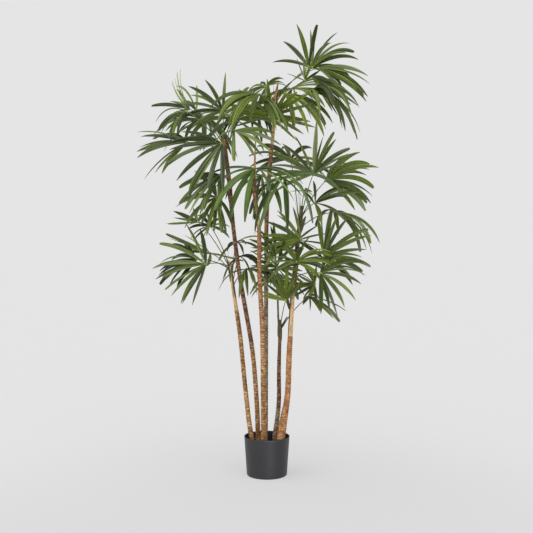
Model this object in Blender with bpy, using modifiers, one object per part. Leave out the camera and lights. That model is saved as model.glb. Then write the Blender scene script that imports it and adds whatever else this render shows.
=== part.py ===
"""Artificial lady palm: six wrapped canes with fan fronds, standing in a plain tapered pot.

Metres, +Z up. The origin is the middle of the pot's flat underside, and -Y is the front.
"""

import math
import random

import bmesh
import bpy
from mathutils import Matrix, Vector
from mathutils.bvhtree import BVHTree

# Driving dimensions of the pot and its filling
POT_HEIGHT = 0.1585
POT_RIM_RADIUS = 0.0915
POT_BASE_RADIUS = 0.081
POT_WALL = 0.0028
POT_FLOOR = 0.004
POT_FOOT_ROUND = 0.006
POT_FOOT_STEPS = 3
POT_INSIDE_BEND = 0.012
POT_STEPS = 32
FILL_DEPTH_BELOW_RIM = 0.040
FIT_GAP = 0.0003

# Canes: middle line from the filling to the tip as (x, y, z, radius), each with a flared foot
CANES = {
    "a": ((-0.060, -0.005, 0.150, 0.0103), (-0.072, 0.000, 0.215, 0.0095), (-0.090, 0.025, 0.370, 0.0090),
          (-0.110, 0.060, 0.560, 0.0088), (-0.136, 0.090, 0.730, 0.0085), (-0.153, 0.110, 0.860, 0.0070)),
    "b": ((-0.036, 0.020, 0.150, 0.0098), (-0.042, 0.005, 0.310, 0.0093), (-0.060, -0.020, 0.520, 0.0088),
          (-0.105, -0.050, 0.790, 0.0085), (-0.132, -0.070, 1.000, 0.0080), (-0.147, -0.085, 1.175, 0.0085),
          (-0.167, -0.095, 1.340, 0.0070)),
    "c": ((-0.012, -0.030, 0.150, 0.0130), (-0.013, -0.045, 0.330, 0.0114), (-0.017, -0.070, 0.575, 0.0098),
          (-0.029, -0.095, 0.815, 0.0088), (-0.031, -0.115, 1.000, 0.0078), (-0.046, -0.130, 1.120, 0.0085),
          (-0.047, -0.145, 1.225, 0.0045), (-0.043, -0.148, 1.350, 0.0016)),
    "d": ((-0.006, 0.030, 0.150, 0.0100), (-0.004, 0.040, 0.460, 0.0092), (-0.003, 0.055, 0.805, 0.0086),
          (-0.001, 0.065, 1.030, 0.0082), (0.010, 0.080, 1.220, 0.0080), (0.027, 0.090, 1.405, 0.0078),
          (0.037, 0.100, 1.545, 0.0055), (0.046, 0.100, 1.590, 0.0020)),
    "e": ((0.032, 0.020, 0.150, 0.0100), (0.048, 0.025, 0.280, 0.0088), (0.049, 0.030, 0.420, 0.0080),
          (0.052, 0.035, 0.530, 0.0072), (0.054, 0.040, 0.625, 0.0062)),
    "f": ((0.056, -0.020, 0.150, 0.0175), (0.066, -0.020, 0.220, 0.0155), (0.083, -0.020, 0.330, 0.0116),
          (0.089, -0.020, 0.480, 0.0110), (0.098, -0.020, 0.640, 0.0095), (0.108, -0.020, 0.790, 0.0085),
          (0.124, -0.020, 0.950, 0.0085), (0.138, -0.020, 1.085, 0.0060)),
}
FOOT_FLARE = 1.12
CANE_RINGS_PER_SPAN = 2
PRONG_FOOT = 0.588
PRONG_TIP = (0.083, 0.044, 0.636)
PRONG_RADIUS = 0.0036

# Fronds. Each row holds the height of the stalk's foot on its cane, the hub that the leaflets
# start from, the heading and rise of the middle leaflet, the roll of the fan about that leaflet,
# the angle that the fan spreads over, the number of leaflets, their length, how far they bend
# down along their length, how light their green is, from 0 to 1, and the seed of their unevenness.
# Headings turn from +X towards +Y, and all angles are degrees.
FRONDS = {
    "d1": (1.535, (0.184, 0.088, 1.652), -10, 40, 75, 105, 8, 0.195, 70, 0.45, 652),
    "d2": (1.520, (0.172, 0.102, 1.658), 155, 65, -85, 75, 4, 0.205, 45, 0.45, 435),
    "d3": (1.495, (0.152, -0.006, 1.584), 240, 70, -20, 125, 5, 0.105, 5, 0.75, 767),
    "d4": (1.500, (0.186, 0.140, 1.626), 25, -25, 50, 85, 7, 0.225, 20, 0.50, 250),
    "d5": (1.465, (0.176, -0.016, 1.536), -35, 5, -5, 95, 8, 0.280, 120, 0.45, 920),
    "d6": (1.415, (0.016, -0.012, 1.446), -70, 30, -10, 240, 9, 0.200, 5, 1.00, 241),
    "d7": (1.510, (-0.004, 0.034, 1.566), 145, 10, -45, 235, 8, 0.150, 70, 0.35, 516),
    "d8": (1.480, (0.072, 0.044, 1.540), -15, -10, 25, 115, 6, 0.250, 75, 0.75, 0),
    "d9": (1.450, (-0.030, -0.060, 1.520), -100, -10, -15, 190, 9, 0.250, 95, 0.75, 0),
    "d10": (1.440, (0.108, 0.238, 1.594), 70, 20, -10, 210, 8, 0.235, 55, 0.70, 0),
    "d11": (1.400, (-0.050, 0.232, 1.520), 140, 0, -5, 245, 8, 0.230, 85, 0.35, 679),
    "d12": (1.545, (0.204, 0.010, 1.636), 0, -10, 70, 55, 5, 0.240, 50, 0.40, 702),
    "b1": (1.270, (-0.172, -0.160, 1.318), 195, -25, -45, 140, 10, 0.250, 35, 0.40, 256),
    "b2": (1.290, (-0.316, -0.024, 1.336), 175, 5, -50, 115, 7, 0.230, 40, 0.35, 932),
    "b3": (1.325, (-0.314, 0.034, 1.478), 130, 10, -65, 65, 6, 0.215, 30, 0.40, 871),
    "b4": (1.310, (-0.310, -0.098, 1.448), 170, 10, -40, 155, 6, 0.155, 90, 0.50, 413),
    "b5": (1.350, (-0.172, -0.090, 1.450), 165, 40, -90, 100, 6, 0.175, 45, 0.50, 839),
    "b6": (1.180, (-0.180, -0.162, 1.198), 190, -35, -30, 115, 8, 0.210, 45, 0.65, 0),
    "b7": (1.300, (-0.124, -0.140, 1.370), -45, -25, 10, 145, 6, 0.195, 30, 0.55, 76),
    "b8": (1.250, (-0.254, 0.106, 1.436), 130, 25, 0, 220, 9, 0.250, 80, 0.50, 0),
    "b9": (1.315, (-0.130, 0.066, 1.438), 75, 60, 0, 225, 7, 0.245, 85, 0.70, 583),
    "b10": (1.150, (-0.198, -0.050, 1.118), 200, -15, -50, 220, 8, 0.190, 55, 0.70, 258),
    "b11": (1.335, (-0.286, 0.058, 1.472), 130, 60, -70, 30, 3, 0.210, 65, 0.90, 519),
    "c1": (1.185, (-0.044, -0.204, 1.220), -100, -20, 0, 210, 9, 0.270, 70, 0.50, 433),
    "c2": (1.150, (0.066, -0.140, 1.192), -105, -30, 10, 185, 6, 0.285, 105, 0.60, 888),
    "c3": (1.100, (-0.020, -0.056, 1.204), -125, -30, -15, 140, 5, 0.235, 130, 0.75, 121),
    "a1": (0.840, (-0.248, 0.054, 0.850), 185, 10, -65, 155, 8, 0.225, 35, 0.65, 878),
    "a2": (0.830, (-0.292, 0.134, 0.868), 185, 5, -40, 115, 8, 0.185, 55, 0.25, 799),
    "a3": (0.845, (-0.284, 0.110, 1.024), 130, 15, -25, 85, 6, 0.150, 5, 0.65, 874),
    "a4": (0.850, (-0.238, 0.178, 1.006), 235, 40, 35, 245, 7, 0.110, 60, 0.65, 166),
    "a5": (0.800, (-0.126, 0.030, 0.938), -90, 5, 20, 180, 6, 0.135, 65, 0.65, 129),
    "a6": (0.780, (-0.112, 0.010, 0.882), -100, 5, 15, 135, 5, 0.145, 110, 0.35, 953),
    "a7": (0.815, (-0.244, 0.244, 0.892), 160, 15, 0, 245, 8, 0.205, 5, 0.85, 206),
    "a8": (0.765, (-0.082, -0.004, 0.832), -60, 5, 10, 180, 7, 0.200, 100, 0.65, 212),
    "f1": (1.065, (0.182, -0.060, 1.208), 155, 70, -70, 160, 9, 0.205, 30, 0.60, 0),
    "f2": (1.050, (0.236, 0.012, 1.186), 5, 20, 65, 95, 11, 0.220, 60, 0.60, 563),
    "f3": (1.035, (0.186, -0.128, 1.092), -20, 30, 40, 150, 6, 0.180, 40, 0.45, 71),
    "f4": (1.000, (0.274, 0.062, 1.062), 35, 10, 25, 135, 7, 0.260, 120, 0.70, 0),
    "f5": (0.860, (0.228, -0.026, 0.882), 5, 35, 100, 130, 9, 0.210, 35, 0.70, 783),
    "f6": (0.800, (0.208, -0.104, 0.820), -15, 0, 55, 155, 9, 0.195, 55, 0.60, 58),
    "f7": (0.830, (0.114, -0.112, 0.864), -80, 50, -5, 210, 9, 0.170, 65, 0.75, 75),
    "f8": (0.900, (0.126, 0.148, 0.946), 80, 40, -5, 240, 9, 0.165, 25, 0.75, 753),
    "f9": (1.015, (0.098, 0.136, 1.284), 80, 40, 15, 195, 8, 0.215, 60, 0.60, 578),
    "f10": (0.900, (0.132, -0.100, 0.952), 155, 15, -85, 110, 7, 0.170, 25, 0.75, 894),
    "f11": (1.070, (0.146, -0.078, 1.140), -95, 30, -30, 185, 6, 0.080, 45, 0.85, 200),
    "f12": (0.815, (0.192, 0.004, 0.772), 190, 0, -90, 185, 7, 0.095, 5, 0.65, 278),
    "e1": (0.590, (0.168, -0.046, 0.726), -15, -15, 5, 160, 8, 0.170, 35, 0.60, 780),
    "e2": (0.600, (0.074, -0.060, 0.710), 170, 75, -105, 120, 7, 0.135, 10, 0.75, 948),
    "e3": (0.605, (0.042, -0.038, 0.840), -110, 60, -10, 295, 10, 0.135, 15, 0.55, 0),
    "e4": (0.585, (0.036, 0.158, 0.782), 65, 30, 20, 235, 8, 0.160, 90, 0.60, 673),
    "e5": (0.610, (0.036, 0.038, 0.914), -90, 70, -5, 270, 9, 0.120, 5, 0.70, 0),
}

# Leaflets: share of the length at each section, and share of the full width there
LEAFLET_SECTIONS = ((0.0, 0.18), (0.38, 0.80), (0.72, 1.0), (1.0, 0.24))
LEAFLET_WIDTH = 0.023
LEAFLET_THICKNESS = 0.0024
LEAFLET_PATH_STEPS = 12
STALK_RADIUS = 0.0018
STALK_POINTS = 4
STALK_ARCH = 0.16
STALK_ARCH_PLACE = 0.45
HUB_RADIUS = 0.0065
HUB_FLATNESS = 0.7
CLEARANCE = 0.0008

# Unevenness of the leaflets: turn as a share of the step between two of them, lift and curl in
# degrees, and the least and most of their length, sag and width
UNEVEN_TURN = 0.22
UNEVEN_LIFT = 14
UNEVEN_CURL = 14
UNEVEN_LENGTH = (0.88, 1.06)
UNEVEN_SAG = (0.75, 1.25)
UNEVEN_WIDTH = (0.85, 1.12)
OUTER_LEAFLET_CUT = 0.14
USUAL_LENGTH = 0.2

# Places that a leaflet tries in turn when it would touch another limb: turn and lift in degrees
LEAFLET_TRIES = ((0, 0), (5, 0), (-5, 0), (0, 8), (0, -8), (9, 5), (-9, 5), (9, -5), (-9, -5),
                 (0, 16), (0, -16), (12, 12), (-12, 12), (12, -12), (-12, -12))
STALK_TURNS = (0, 25, -25, 50, -50, 75, -75, 100, -100)
TEST_SIDES = 10

# Materials: base colour and roughness, and the two ends of the leaf greens
POT_FINISH = ((0.052, 0.052, 0.055), 0.42)
FILL_FINISH = ((0.010, 0.009, 0.009), 0.90)
CANE_FINISH = ((0.330, 0.190, 0.090), 0.75)
PRONG_FINISH = ((0.060, 0.035, 0.025), 0.70)
LEAF_DARK = (0.025, 0.065, 0.022)
LEAF_LIGHT = (0.130, 0.230, 0.035)
LEAF_ROUGHNESS = 0.45
SHARP_ANGLE = 40


def clear_scene():
    for item in list(bpy.data.objects):
        bpy.data.objects.remove(item, do_unlink=True)


def finish(made, colour, roughness):
    """Give an object a Principled material of its own."""
    material = bpy.data.materials.new(made.name + "_finish")
    material.use_nodes = True
    shader = material.node_tree.nodes["Principled BSDF"]
    shader.inputs["Base Color"].default_value = (*colour, 1.0)
    shader.inputs["Roughness"].default_value = roughness
    made.data.materials.clear()
    made.data.materials.append(material)


def smooth(made):
    made.data.shade_smooth()
    made.data.set_sharp_from_angle(angle=math.radians(SHARP_ANGLE))


def evaluated_mesh(made):
    """The mesh that an object's curve or modifiers give."""
    bpy.context.view_layer.update()
    return bpy.data.meshes.new_from_object(made.evaluated_get(bpy.context.evaluated_depsgraph_get()))


def turned(name, profile, steps, collection):
    """A profile of (radius, z) points turned about Z, closed on the axis at both ends."""
    mesh = bpy.data.meshes.new(name)
    points = [(radius, 0.0, z) for radius, z in profile]
    mesh.from_pydata(points, [(i, i + 1) for i in range(len(points) - 1)], [])
    made = bpy.data.objects.new(name, mesh)
    collection.objects.link(made)
    screw = made.modifiers.new("Turn", "SCREW")
    screw.axis = "Z"
    screw.steps = steps
    screw.render_steps = steps
    screw.use_merge_vertices = True
    screw.merge_threshold = 0.00001
    made.data = evaluated_mesh(made)
    made.modifiers.remove(screw)
    smooth(made)
    return made


def pot_radius(z):
    """Outer radius of the tapered wall at a height."""
    return POT_BASE_RADIUS + (POT_RIM_RADIUS - POT_BASE_RADIUS) * z / POT_HEIGHT


def make_pot(collection):
    """Thin tapered wall with a flat closed floor and a small round at the foot."""
    profile = [(pot_radius(POT_HEIGHT), POT_HEIGHT)]
    for step in range(POT_FOOT_STEPS + 1):
        angle = math.pi / 2 * step / POT_FOOT_STEPS
        inset = POT_FOOT_ROUND * (1 - math.cos(angle))
        z = POT_FOOT_ROUND * (1 - math.sin(angle))
        profile.append((pot_radius(z) - inset, z))
    profile.append((0.0, 0.0))
    inner = [(0.0, POT_FLOOR), (pot_radius(POT_FLOOR) - 2 * POT_WALL, POT_FLOOR),
             (pot_radius(POT_INSIDE_BEND) - POT_WALL, POT_INSIDE_BEND),
             (pot_radius(POT_HEIGHT) - POT_WALL, POT_HEIGHT), (pot_radius(POT_HEIGHT), POT_HEIGHT)]
    finish(turned("pot", profile + inner, POT_STEPS, collection), *POT_FINISH)


def fill_top():
    return POT_HEIGHT - FILL_DEPTH_BELOW_RIM


def make_fill(collection):
    """Cast plug that holds the canes, a fit gap clear of the pot all round."""
    low = POT_FLOOR + FIT_GAP
    inside = POT_WALL + 2 * FIT_GAP
    profile = [(0.0, fill_top()), (pot_radius(fill_top()) - inside, fill_top()),
               (pot_radius(POT_INSIDE_BEND) - inside, POT_INSIDE_BEND),
               (pot_radius(low) - POT_WALL - inside, low), (0.0, low)]
    finish(turned("fill", profile, POT_STEPS, collection), *FILL_FINISH)


def through(points, per_span):
    """Smooth path through points of any length, with a number of steps in each span."""
    path = []
    last = len(points) - 1
    for i in range(last):
        before = points[max(i - 1, 0)]
        after = points[min(i + 2, last)]
        for step in range(per_span):
            t = step / per_span
            path.append(tuple(
                0.5 * (2 * b + (c - a) * t + (2 * a - 5 * b + 4 * c - d) * t * t
                       + (3 * b - a - 3 * c + d) * t ** 3)
                for a, b, c, d in zip(before, points[i], points[i + 1], after)))
    path.append(points[last])
    return path


def cane_path(cane):
    """Middle line and radius of a cane, from its flat foot on the filling."""
    path = through(CANES[cane], CANE_RINGS_PER_SPAN)
    x, y, z, radius = path[0]
    foot = (x, y, fill_top() + FIT_GAP, radius * FOOT_FLARE)
    return [foot] + path


def on_cane(path, z):
    """Place and radius of the cane at a height."""
    for low, high in zip(path, path[1:]):
        if low[2] <= z <= high[2]:
            share = (z - low[2]) / (high[2] - low[2])
            x, y, height, radius = (a + (b - a) * share for a, b in zip(low, high))
            return Vector((x, y, height)), radius
    raise ValueError("height is off the cane")


def tube(name, path, resolution, collection):
    """Solid round limb along (x, y, z, radius) points, made a mesh with welded caps."""
    curve = bpy.data.curves.new(name, "CURVE")
    curve.dimensions = "3D"
    curve.bevel_depth = 1.0
    curve.bevel_resolution = resolution
    curve.use_fill_caps = True
    spline = curve.splines.new("POLY")
    spline.points.add(len(path) - 1)
    for point, (x, y, z, radius) in zip(spline.points, path):
        point.co = (x, y, z, 1.0)
        point.radius = radius
    guide = bpy.data.objects.new(name + "_line", curve)
    collection.objects.link(guide)
    mesh = evaluated_mesh(guide)
    bpy.data.objects.remove(guide, do_unlink=True)
    work = bmesh.new()
    work.from_mesh(mesh)
    bmesh.ops.remove_doubles(work, verts=work.verts, dist=0.00001)
    bmesh.ops.recalc_face_normals(work, faces=work.faces)
    work.to_mesh(mesh)
    work.free()
    made = bpy.data.objects.new(name, mesh)
    collection.objects.link(made)
    smooth(made)
    return made


def make_prong(path, collection):
    """Short dead side shoot, from a fit gap beside its cane."""
    place, radius = on_cane(path, PRONG_FOOT)
    reach = Vector(PRONG_TIP) - place
    out = Vector((reach.x, reach.y, 0.0)).normalized()
    foot = place + out * (radius + FIT_GAP + PRONG_RADIUS * reach.normalized().z)
    middle = foot.lerp(Vector(PRONG_TIP), 0.5)
    line = [(*foot, PRONG_RADIUS), (*middle, PRONG_RADIUS * 0.9), (*PRONG_TIP, PRONG_RADIUS * 0.7)]
    finish(tube("cane_e_prong", line, 1, collection), *PRONG_FINISH)


def pointing(heading, rise):
    heading, rise = math.radians(heading), math.radians(rise)
    return Vector((math.cos(rise) * math.cos(heading), math.cos(rise) * math.sin(heading), math.sin(rise)))


def fan_frame(heading, rise, roll):
    """Middle, side and face directions of a fan."""
    middle = pointing(heading, rise)
    level = pointing(heading + 90, 0)
    side = Matrix.Rotation(math.radians(roll), 3, middle) @ level
    return middle, side, middle.cross(side)


def leaflet_path(start, direction, side, length, bend, curl):
    """Points and width directions of a leaflet that bends down under its weight."""
    rise = math.asin(max(-1.0, min(1.0, direction.z)))
    heading = math.atan2(direction.y, direction.x)
    points = [start.copy()]
    sides = [side.copy()]
    ahead = direction.copy()
    for step in range(LEAFLET_PATH_STEPS):
        share = (step + 0.5) / LEAFLET_PATH_STEPS
        rise -= math.radians(bend) * math.cos(rise) * (0.5 + share) / LEAFLET_PATH_STEPS
        heading += math.radians(curl) / LEAFLET_PATH_STEPS
        turned_to = pointing(math.degrees(heading), math.degrees(rise))
        side = ahead.rotation_difference(turned_to) @ side
        ahead = turned_to
        points.append(points[-1] + ahead * length / LEAFLET_PATH_STEPS)
        sides.append(side.copy())
    return points, sides


def at_share(values, share):
    """Value between the steps of a path, at a share of its length."""
    place = share * (len(values) - 1)
    low = min(int(place), len(values) - 2)
    return values[low].lerp(values[low + 1], place - low)


def blade(points, sides, width, margin):
    """Vertices and faces of a leaflet: three-sided sections, flat below with a low ridge above."""
    vertices, faces = [], []
    thickness = LEAFLET_THICKNESS + margin
    for share, breadth in LEAFLET_SECTIONS:
        place = at_share(points, share)
        ahead = at_share(points, min(share + 0.05, 1.0)) - at_share(points, max(share - 0.05, 0.0))
        across = at_share(sides, share).normalized()
        up = ahead.cross(across).normalized()
        half = 0.5 * (width * breadth + margin)
        vertices += [place - across * half - up * thickness / 3,
                     place + across * half - up * thickness / 3,
                     place + up * thickness * 2 / 3]
    last = len(vertices) - 3
    faces.append((0, 1, 2))
    for ring in range(0, last, 3):
        for corner in range(3):
            after = (corner + 1) % 3
            faces.append((ring + corner, ring + 3 + corner, ring + 3 + after, ring + after))
    faces.append((last + 2, last + 1, last))
    return vertices, faces


def stalk_path(path, foot_z, hub, turn):
    """Arching stalk from a fit gap beside the cane, or past its tip, to the middle of the hub."""
    before, tip = (Vector(point[:3]) for point in path[-2:])
    at_tip = foot_z > tip.z
    place, radius = (tip, 0.0) if at_tip else on_cane(path, foot_z)
    out = Vector((hub.x - place.x, hub.y - place.y, 0.0)).normalized()
    out = Matrix.Rotation(math.radians(turn), 3, "Z") @ out
    reach = hub - place
    arch = place + reach * STALK_ARCH_PLACE + out * radius
    arch.z += reach.length * STALK_ARCH
    rise = (arch - place).normalized()
    lean = (tip - before).normalized()
    if at_tip:
        foot = tip + lean * (FIT_GAP + STALK_RADIUS * lean.cross(rise).length)
    else:
        foot = place + out * (radius + FIT_GAP + STALK_RADIUS * abs(rise.z))
    points = []
    for step in range(STALK_POINTS):
        t = step / (STALK_POINTS - 1)
        points.append(foot * (1 - t) ** 2 + arch * 2 * t * (1 - t) + hub * t * t)
    return points


def shape_of(owner, vertices, faces):
    """Owner, box and search tree of a closed shape."""
    low = Vector(min(v[i] for v in vertices) for i in range(3))
    high = Vector(max(v[i] for v in vertices) for i in range(3))
    return owner, low, high, BVHTree.FromPolygons(vertices, faces)


def touches(shape, others):
    """Whether a shape meets one of another owner, with the boxes compared first."""
    owner, low, high, tree = shape
    for other_owner, other_low, other_high, other_tree in others:
        apart = any(low[i] > other_high[i] or high[i] < other_low[i] for i in range(3))
        if other_owner != owner and not apart and tree.overlap(other_tree):
            return True
    return False


def test_tube(points, radii):
    """Vertices and faces of a coarse tube that encloses the round one, used to test for contact."""
    vertices, faces = [], []
    reach = 1 / math.cos(math.pi / TEST_SIDES)
    for i, (place, radius) in enumerate(zip(points, radii)):
        ahead = points[min(i + 1, len(points) - 1)] - points[max(i - 1, 0)]
        across = ahead.orthogonal().normalized()
        up = ahead.cross(across).normalized()
        for corner in range(TEST_SIDES):
            angle = 2 * math.pi * corner / TEST_SIDES
            spoke = across * math.cos(angle) + up * math.sin(angle)
            vertices.append(place + spoke * radius * reach)
    for ring in range(0, len(vertices) - TEST_SIDES, TEST_SIDES):
        for corner in range(TEST_SIDES):
            a, b = ring + corner, ring + (corner + 1) % TEST_SIDES
            faces.append((a, b, b + TEST_SIDES, a + TEST_SIDES))
    return vertices, faces


def plan_fronds(paths):
    """Stalks and leaflets of every frond, each clear of the canes and of the fronds before it."""
    taken = []
    for cane, path in paths.items():
        line = [Vector(point[:3]) for point in path]
        taken.append(shape_of(cane, *test_tube(line, [point[3] for point in path])))
    plans = {}
    for name, row in FRONDS.items():
        hub = Vector(row[1])
        ball_line = [hub + Vector((0, 0, share * HUB_RADIUS)) for share in (-1, 0, 1)]
        ball = shape_of(name, *test_tube(ball_line, [HUB_RADIUS + CLEARANCE] * 3))
        own_cane = [shape for shape in taken if shape[0] == name[0]]
        others = [shape for shape in taken if shape[0] != name[0]]
        for turn in STALK_TURNS:
            points = stalk_path(paths[name[0]], row[0], hub, turn)
            past_foot = [points[0].lerp(points[1], 0.3)] + points[1:]
            bare = shape_of(name, *test_tube(past_foot, [STALK_RADIUS] * len(points)))
            stalk = shape_of(name, *test_tube(points, [STALK_RADIUS + CLEARANCE] * len(points)))
            if not touches(bare, own_cane) and not touches(stalk, others):
                break
        else:
            raise ValueError("no clear way for the stalk of frond " + name)
        if touches(ball, taken):
            raise ValueError("no clear place for the hub of frond " + name)
        taken += [stalk, ball]
        plans[name] = {"stalk": points, "hub": hub, "leaflets": []}
    for name, row in FRONDS.items():
        plan_leaflets(name, row, plans[name], taken)
    return plans


def plan_leaflets(name, row, plan, taken):
    """Leaflets of one frond, spread over its fan with seeded unevenness."""
    heading, rise, roll, spread, count, length, bend, tone, seed = row[2:]
    middle, side, face = fan_frame(heading, rise, roll)
    chance = random.Random(f"frond {name} {seed}")
    for i in range(count):
        share = 2 * i / (count - 1) - 1
        angle = share * spread / 2 + chance.uniform(-UNEVEN_TURN, UNEVEN_TURN) * spread / count
        lift = chance.uniform(-UNEVEN_LIFT, UNEVEN_LIFT)
        long = length * (1 - OUTER_LEAFLET_CUT * share * share) * chance.uniform(*UNEVEN_LENGTH)
        sag = bend * chance.uniform(*UNEVEN_SAG)
        curl = chance.uniform(-UNEVEN_CURL, UNEVEN_CURL)
        wide = LEAFLET_WIDTH * chance.uniform(*UNEVEN_WIDTH) * math.sqrt(long / USUAL_LENGTH)
        for more_turn, more_lift in LEAFLET_TRIES:
            turn = math.radians(angle + more_turn)
            flat = middle * math.cos(turn) + side * math.sin(turn)
            direction = (flat + face * math.tan(math.radians(lift + more_lift))).normalized()
            across = face.cross(direction).normalized()
            points, sides = leaflet_path(plan["hub"], direction, across, long, sag, curl)
            if not touches(shape_of(name, *blade(points, sides, wide, CLEARANCE)), taken):
                plan["leaflets"].append((points, sides, wide))
                taken.append(shape_of(name, *blade(points, sides, wide, 0.0)))
                break


def closed_mesh(name, vertices, faces, collection):
    """Object from a closed shape's vertices and faces, with its faces pointing out."""
    mesh = bpy.data.meshes.new(name)
    mesh.from_pydata(vertices, [], faces)
    work = bmesh.new()
    work.from_mesh(mesh)
    bmesh.ops.recalc_face_normals(work, faces=work.faces)
    work.to_mesh(mesh)
    work.free()
    made = bpy.data.objects.new(name, mesh)
    collection.objects.link(made)
    return made


def make_hub(name, place, face, collection):
    """Small flattened knot where the leaflets of a fan meet."""
    mesh = bpy.data.meshes.new(name)
    work = bmesh.new()
    turn = Vector((0, 0, 1)).rotation_difference(face).to_matrix().to_4x4()
    flat = Matrix.Diagonal((1, 1, HUB_FLATNESS, 1))
    bmesh.ops.create_uvsphere(work, u_segments=4, v_segments=2, radius=HUB_RADIUS,
                              matrix=Matrix.Translation(place) @ turn @ flat)
    work.to_mesh(mesh)
    work.free()
    made = bpy.data.objects.new(name, mesh)
    collection.objects.link(made)
    return made


def keep_largest(mesh):
    """Drop the sealed hollows and loose scraps that a union leaves."""
    work = bmesh.new()
    work.from_mesh(mesh)
    left = set(work.faces)
    islands = []
    while left:
        front = [left.pop()]
        island = list(front)
        while front:
            near = {face for edge in front.pop().edges for face in edge.link_faces} & left
            left -= near
            front += near
            island += near
        islands.append(island)
    islands.sort(key=len)
    for island in islands[:-1]:
        bmesh.ops.delete(work, geom=island, context="FACES")
    work.to_mesh(mesh)
    work.free()


def make_frond(frond, plan, collection, scraps):
    """One closed solid of stalk, hub and leaflets, joined by a union."""
    row = FRONDS[frond]
    made = tube("frond_" + frond, [(*point, STALK_RADIUS) for point in plan["stalk"]], 0, collection)
    make_hub("hub", plan["hub"], fan_frame(*row[2:5])[2], scraps)
    for points, sides, width in plan["leaflets"]:
        closed_mesh("leaflet", *blade(points, sides, width, 0.0), scraps)
    join = made.modifiers.new("Join", "BOOLEAN")
    join.operation = "UNION"
    join.operand_type = "COLLECTION"
    join.collection = scraps
    join.solver = "MANIFOLD"
    made.data = evaluated_mesh(made)
    made.modifiers.remove(join)
    keep_largest(made.data)
    for item in list(scraps.objects):
        bpy.data.objects.remove(item, do_unlink=True)
    green = Vector(LEAF_DARK).lerp(Vector(LEAF_LIGHT), row[-2])
    finish(made, green, LEAF_ROUGHNESS)


def main():
    clear_scene()
    palm = bpy.data.collections.new("lady_palm")
    scraps = bpy.data.collections.new("joining")
    bpy.context.scene.collection.children.link(palm)
    bpy.context.scene.collection.children.link(scraps)
    make_pot(palm)
    make_fill(palm)
    paths = {cane: cane_path(cane) for cane in CANES}
    for cane, path in paths.items():
        finish(tube("cane_" + cane, path, 3, palm), *CANE_FINISH)
    make_prong(paths["e"], palm)
    for frond, plan in plan_fronds(paths).items():
        make_frond(frond, plan, palm, scraps)
    foot = bpy.data.objects.new("foot_of_pot", None)
    palm.objects.link(foot)
    for piece in list(palm.objects):
        if piece != foot:
            piece.parent = foot


if __name__ == "__main__":
    main()
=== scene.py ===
import math
import random
from collections import namedtuple

import bmesh
import bpy
from mathutils import Matrix, Vector
from mathutils.bvhtree import BVHTree


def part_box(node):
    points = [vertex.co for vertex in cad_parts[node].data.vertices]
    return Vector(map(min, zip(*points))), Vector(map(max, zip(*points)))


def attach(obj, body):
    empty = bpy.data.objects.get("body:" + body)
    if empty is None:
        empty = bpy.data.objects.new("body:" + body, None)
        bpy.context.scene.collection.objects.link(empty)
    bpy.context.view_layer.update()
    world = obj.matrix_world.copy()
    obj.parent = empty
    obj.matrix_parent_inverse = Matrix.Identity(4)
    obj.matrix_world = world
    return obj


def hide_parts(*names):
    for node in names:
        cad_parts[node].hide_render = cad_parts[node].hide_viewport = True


# An artificial lady palm: canes wound with bark fibre and cast into a plain plastic pot, with fans
# of pleated cloth leaflets on wire stalks. Metres, +Z up, -Y is the side that the camera looks at.

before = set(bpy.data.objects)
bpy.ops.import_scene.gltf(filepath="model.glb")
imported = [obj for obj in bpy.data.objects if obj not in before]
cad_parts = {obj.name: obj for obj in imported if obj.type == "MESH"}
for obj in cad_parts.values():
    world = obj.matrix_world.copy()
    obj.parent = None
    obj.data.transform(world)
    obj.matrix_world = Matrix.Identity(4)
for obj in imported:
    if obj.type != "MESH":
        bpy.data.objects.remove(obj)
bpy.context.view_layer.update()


# Nodes, materials and meshes

def linearColour(hexText):
    parts = [int(hexText[i:i + 2], 16) / 255 for i in (1, 3, 5)]
    return tuple(p / 12.92 if p <= 0.04045 else ((p + 0.055) / 1.055) ** 2.4 for p in parts) + (1.0,)


def setInputs(tree, node, inputs):
    # by name, or in the order of the live sockets; a node as a value stands for its first live output
    live = [socket for socket in node.inputs if socket.enabled]
    for key, value in inputs.items() if isinstance(inputs, dict) else enumerate(inputs):
        socket = node.inputs[key] if isinstance(key, str) else live[key]
        if isinstance(value, bpy.types.Node):
            value = next(output for output in value.outputs if output.enabled)
        if isinstance(value, bpy.types.NodeSocket):
            tree.links.new(value, socket)
        else:
            socket.default_value = value


def addNode(tree, kind, inputs=(), stops=(), **settings):
    node = tree.nodes.new(kind)
    for name, value in settings.items():
        setattr(node, name, value)
    for i, (place, hexText) in enumerate(stops):
        elements = node.color_ramp.elements
        element = elements[i] if i < 2 else elements.new(place)
        element.position, element.color = place, linearColour(hexText)
    setInputs(tree, node, inputs)
    return node


def startMaterial(name, roughness, specular):
    material = bpy.data.materials.new(name)
    material.use_nodes = True
    tree = material.node_tree
    shader = tree.nodes["Principled BSDF"]
    setInputs(tree, shader, {"Roughness": roughness, "Specular IOR Level": specular})
    return material, tree, shader


def grainyMaterial(name, hexes, roughness, grainy):
    # a noise that colours the surface from dark to pale and roughens it by the same grain
    material, tree, shader = startMaterial(name, roughness, grainy["specular"])
    coords = addNode(tree, "ShaderNodeTexCoord").outputs["Object"]
    place = addNode(tree, "ShaderNodeMapping", {"Vector": coords, "Scale": grainy["stretch"]})
    grain = addNode(tree, "ShaderNodeTexNoise", {
        "Vector": place, "Scale": grainy["scale"], "Detail": grainy["detail"]})
    colour = addNode(tree, "ShaderNodeValToRGB", [grain], zip(grainy["shades"], hexes))
    bump = addNode(tree, "ShaderNodeBump", {
        "Height": grain, "Distance": grainy["relief"], "Strength": grainy["strength"]})
    setInputs(tree, shader, {"Base Color": colour, "Normal": bump})
    return material


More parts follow.
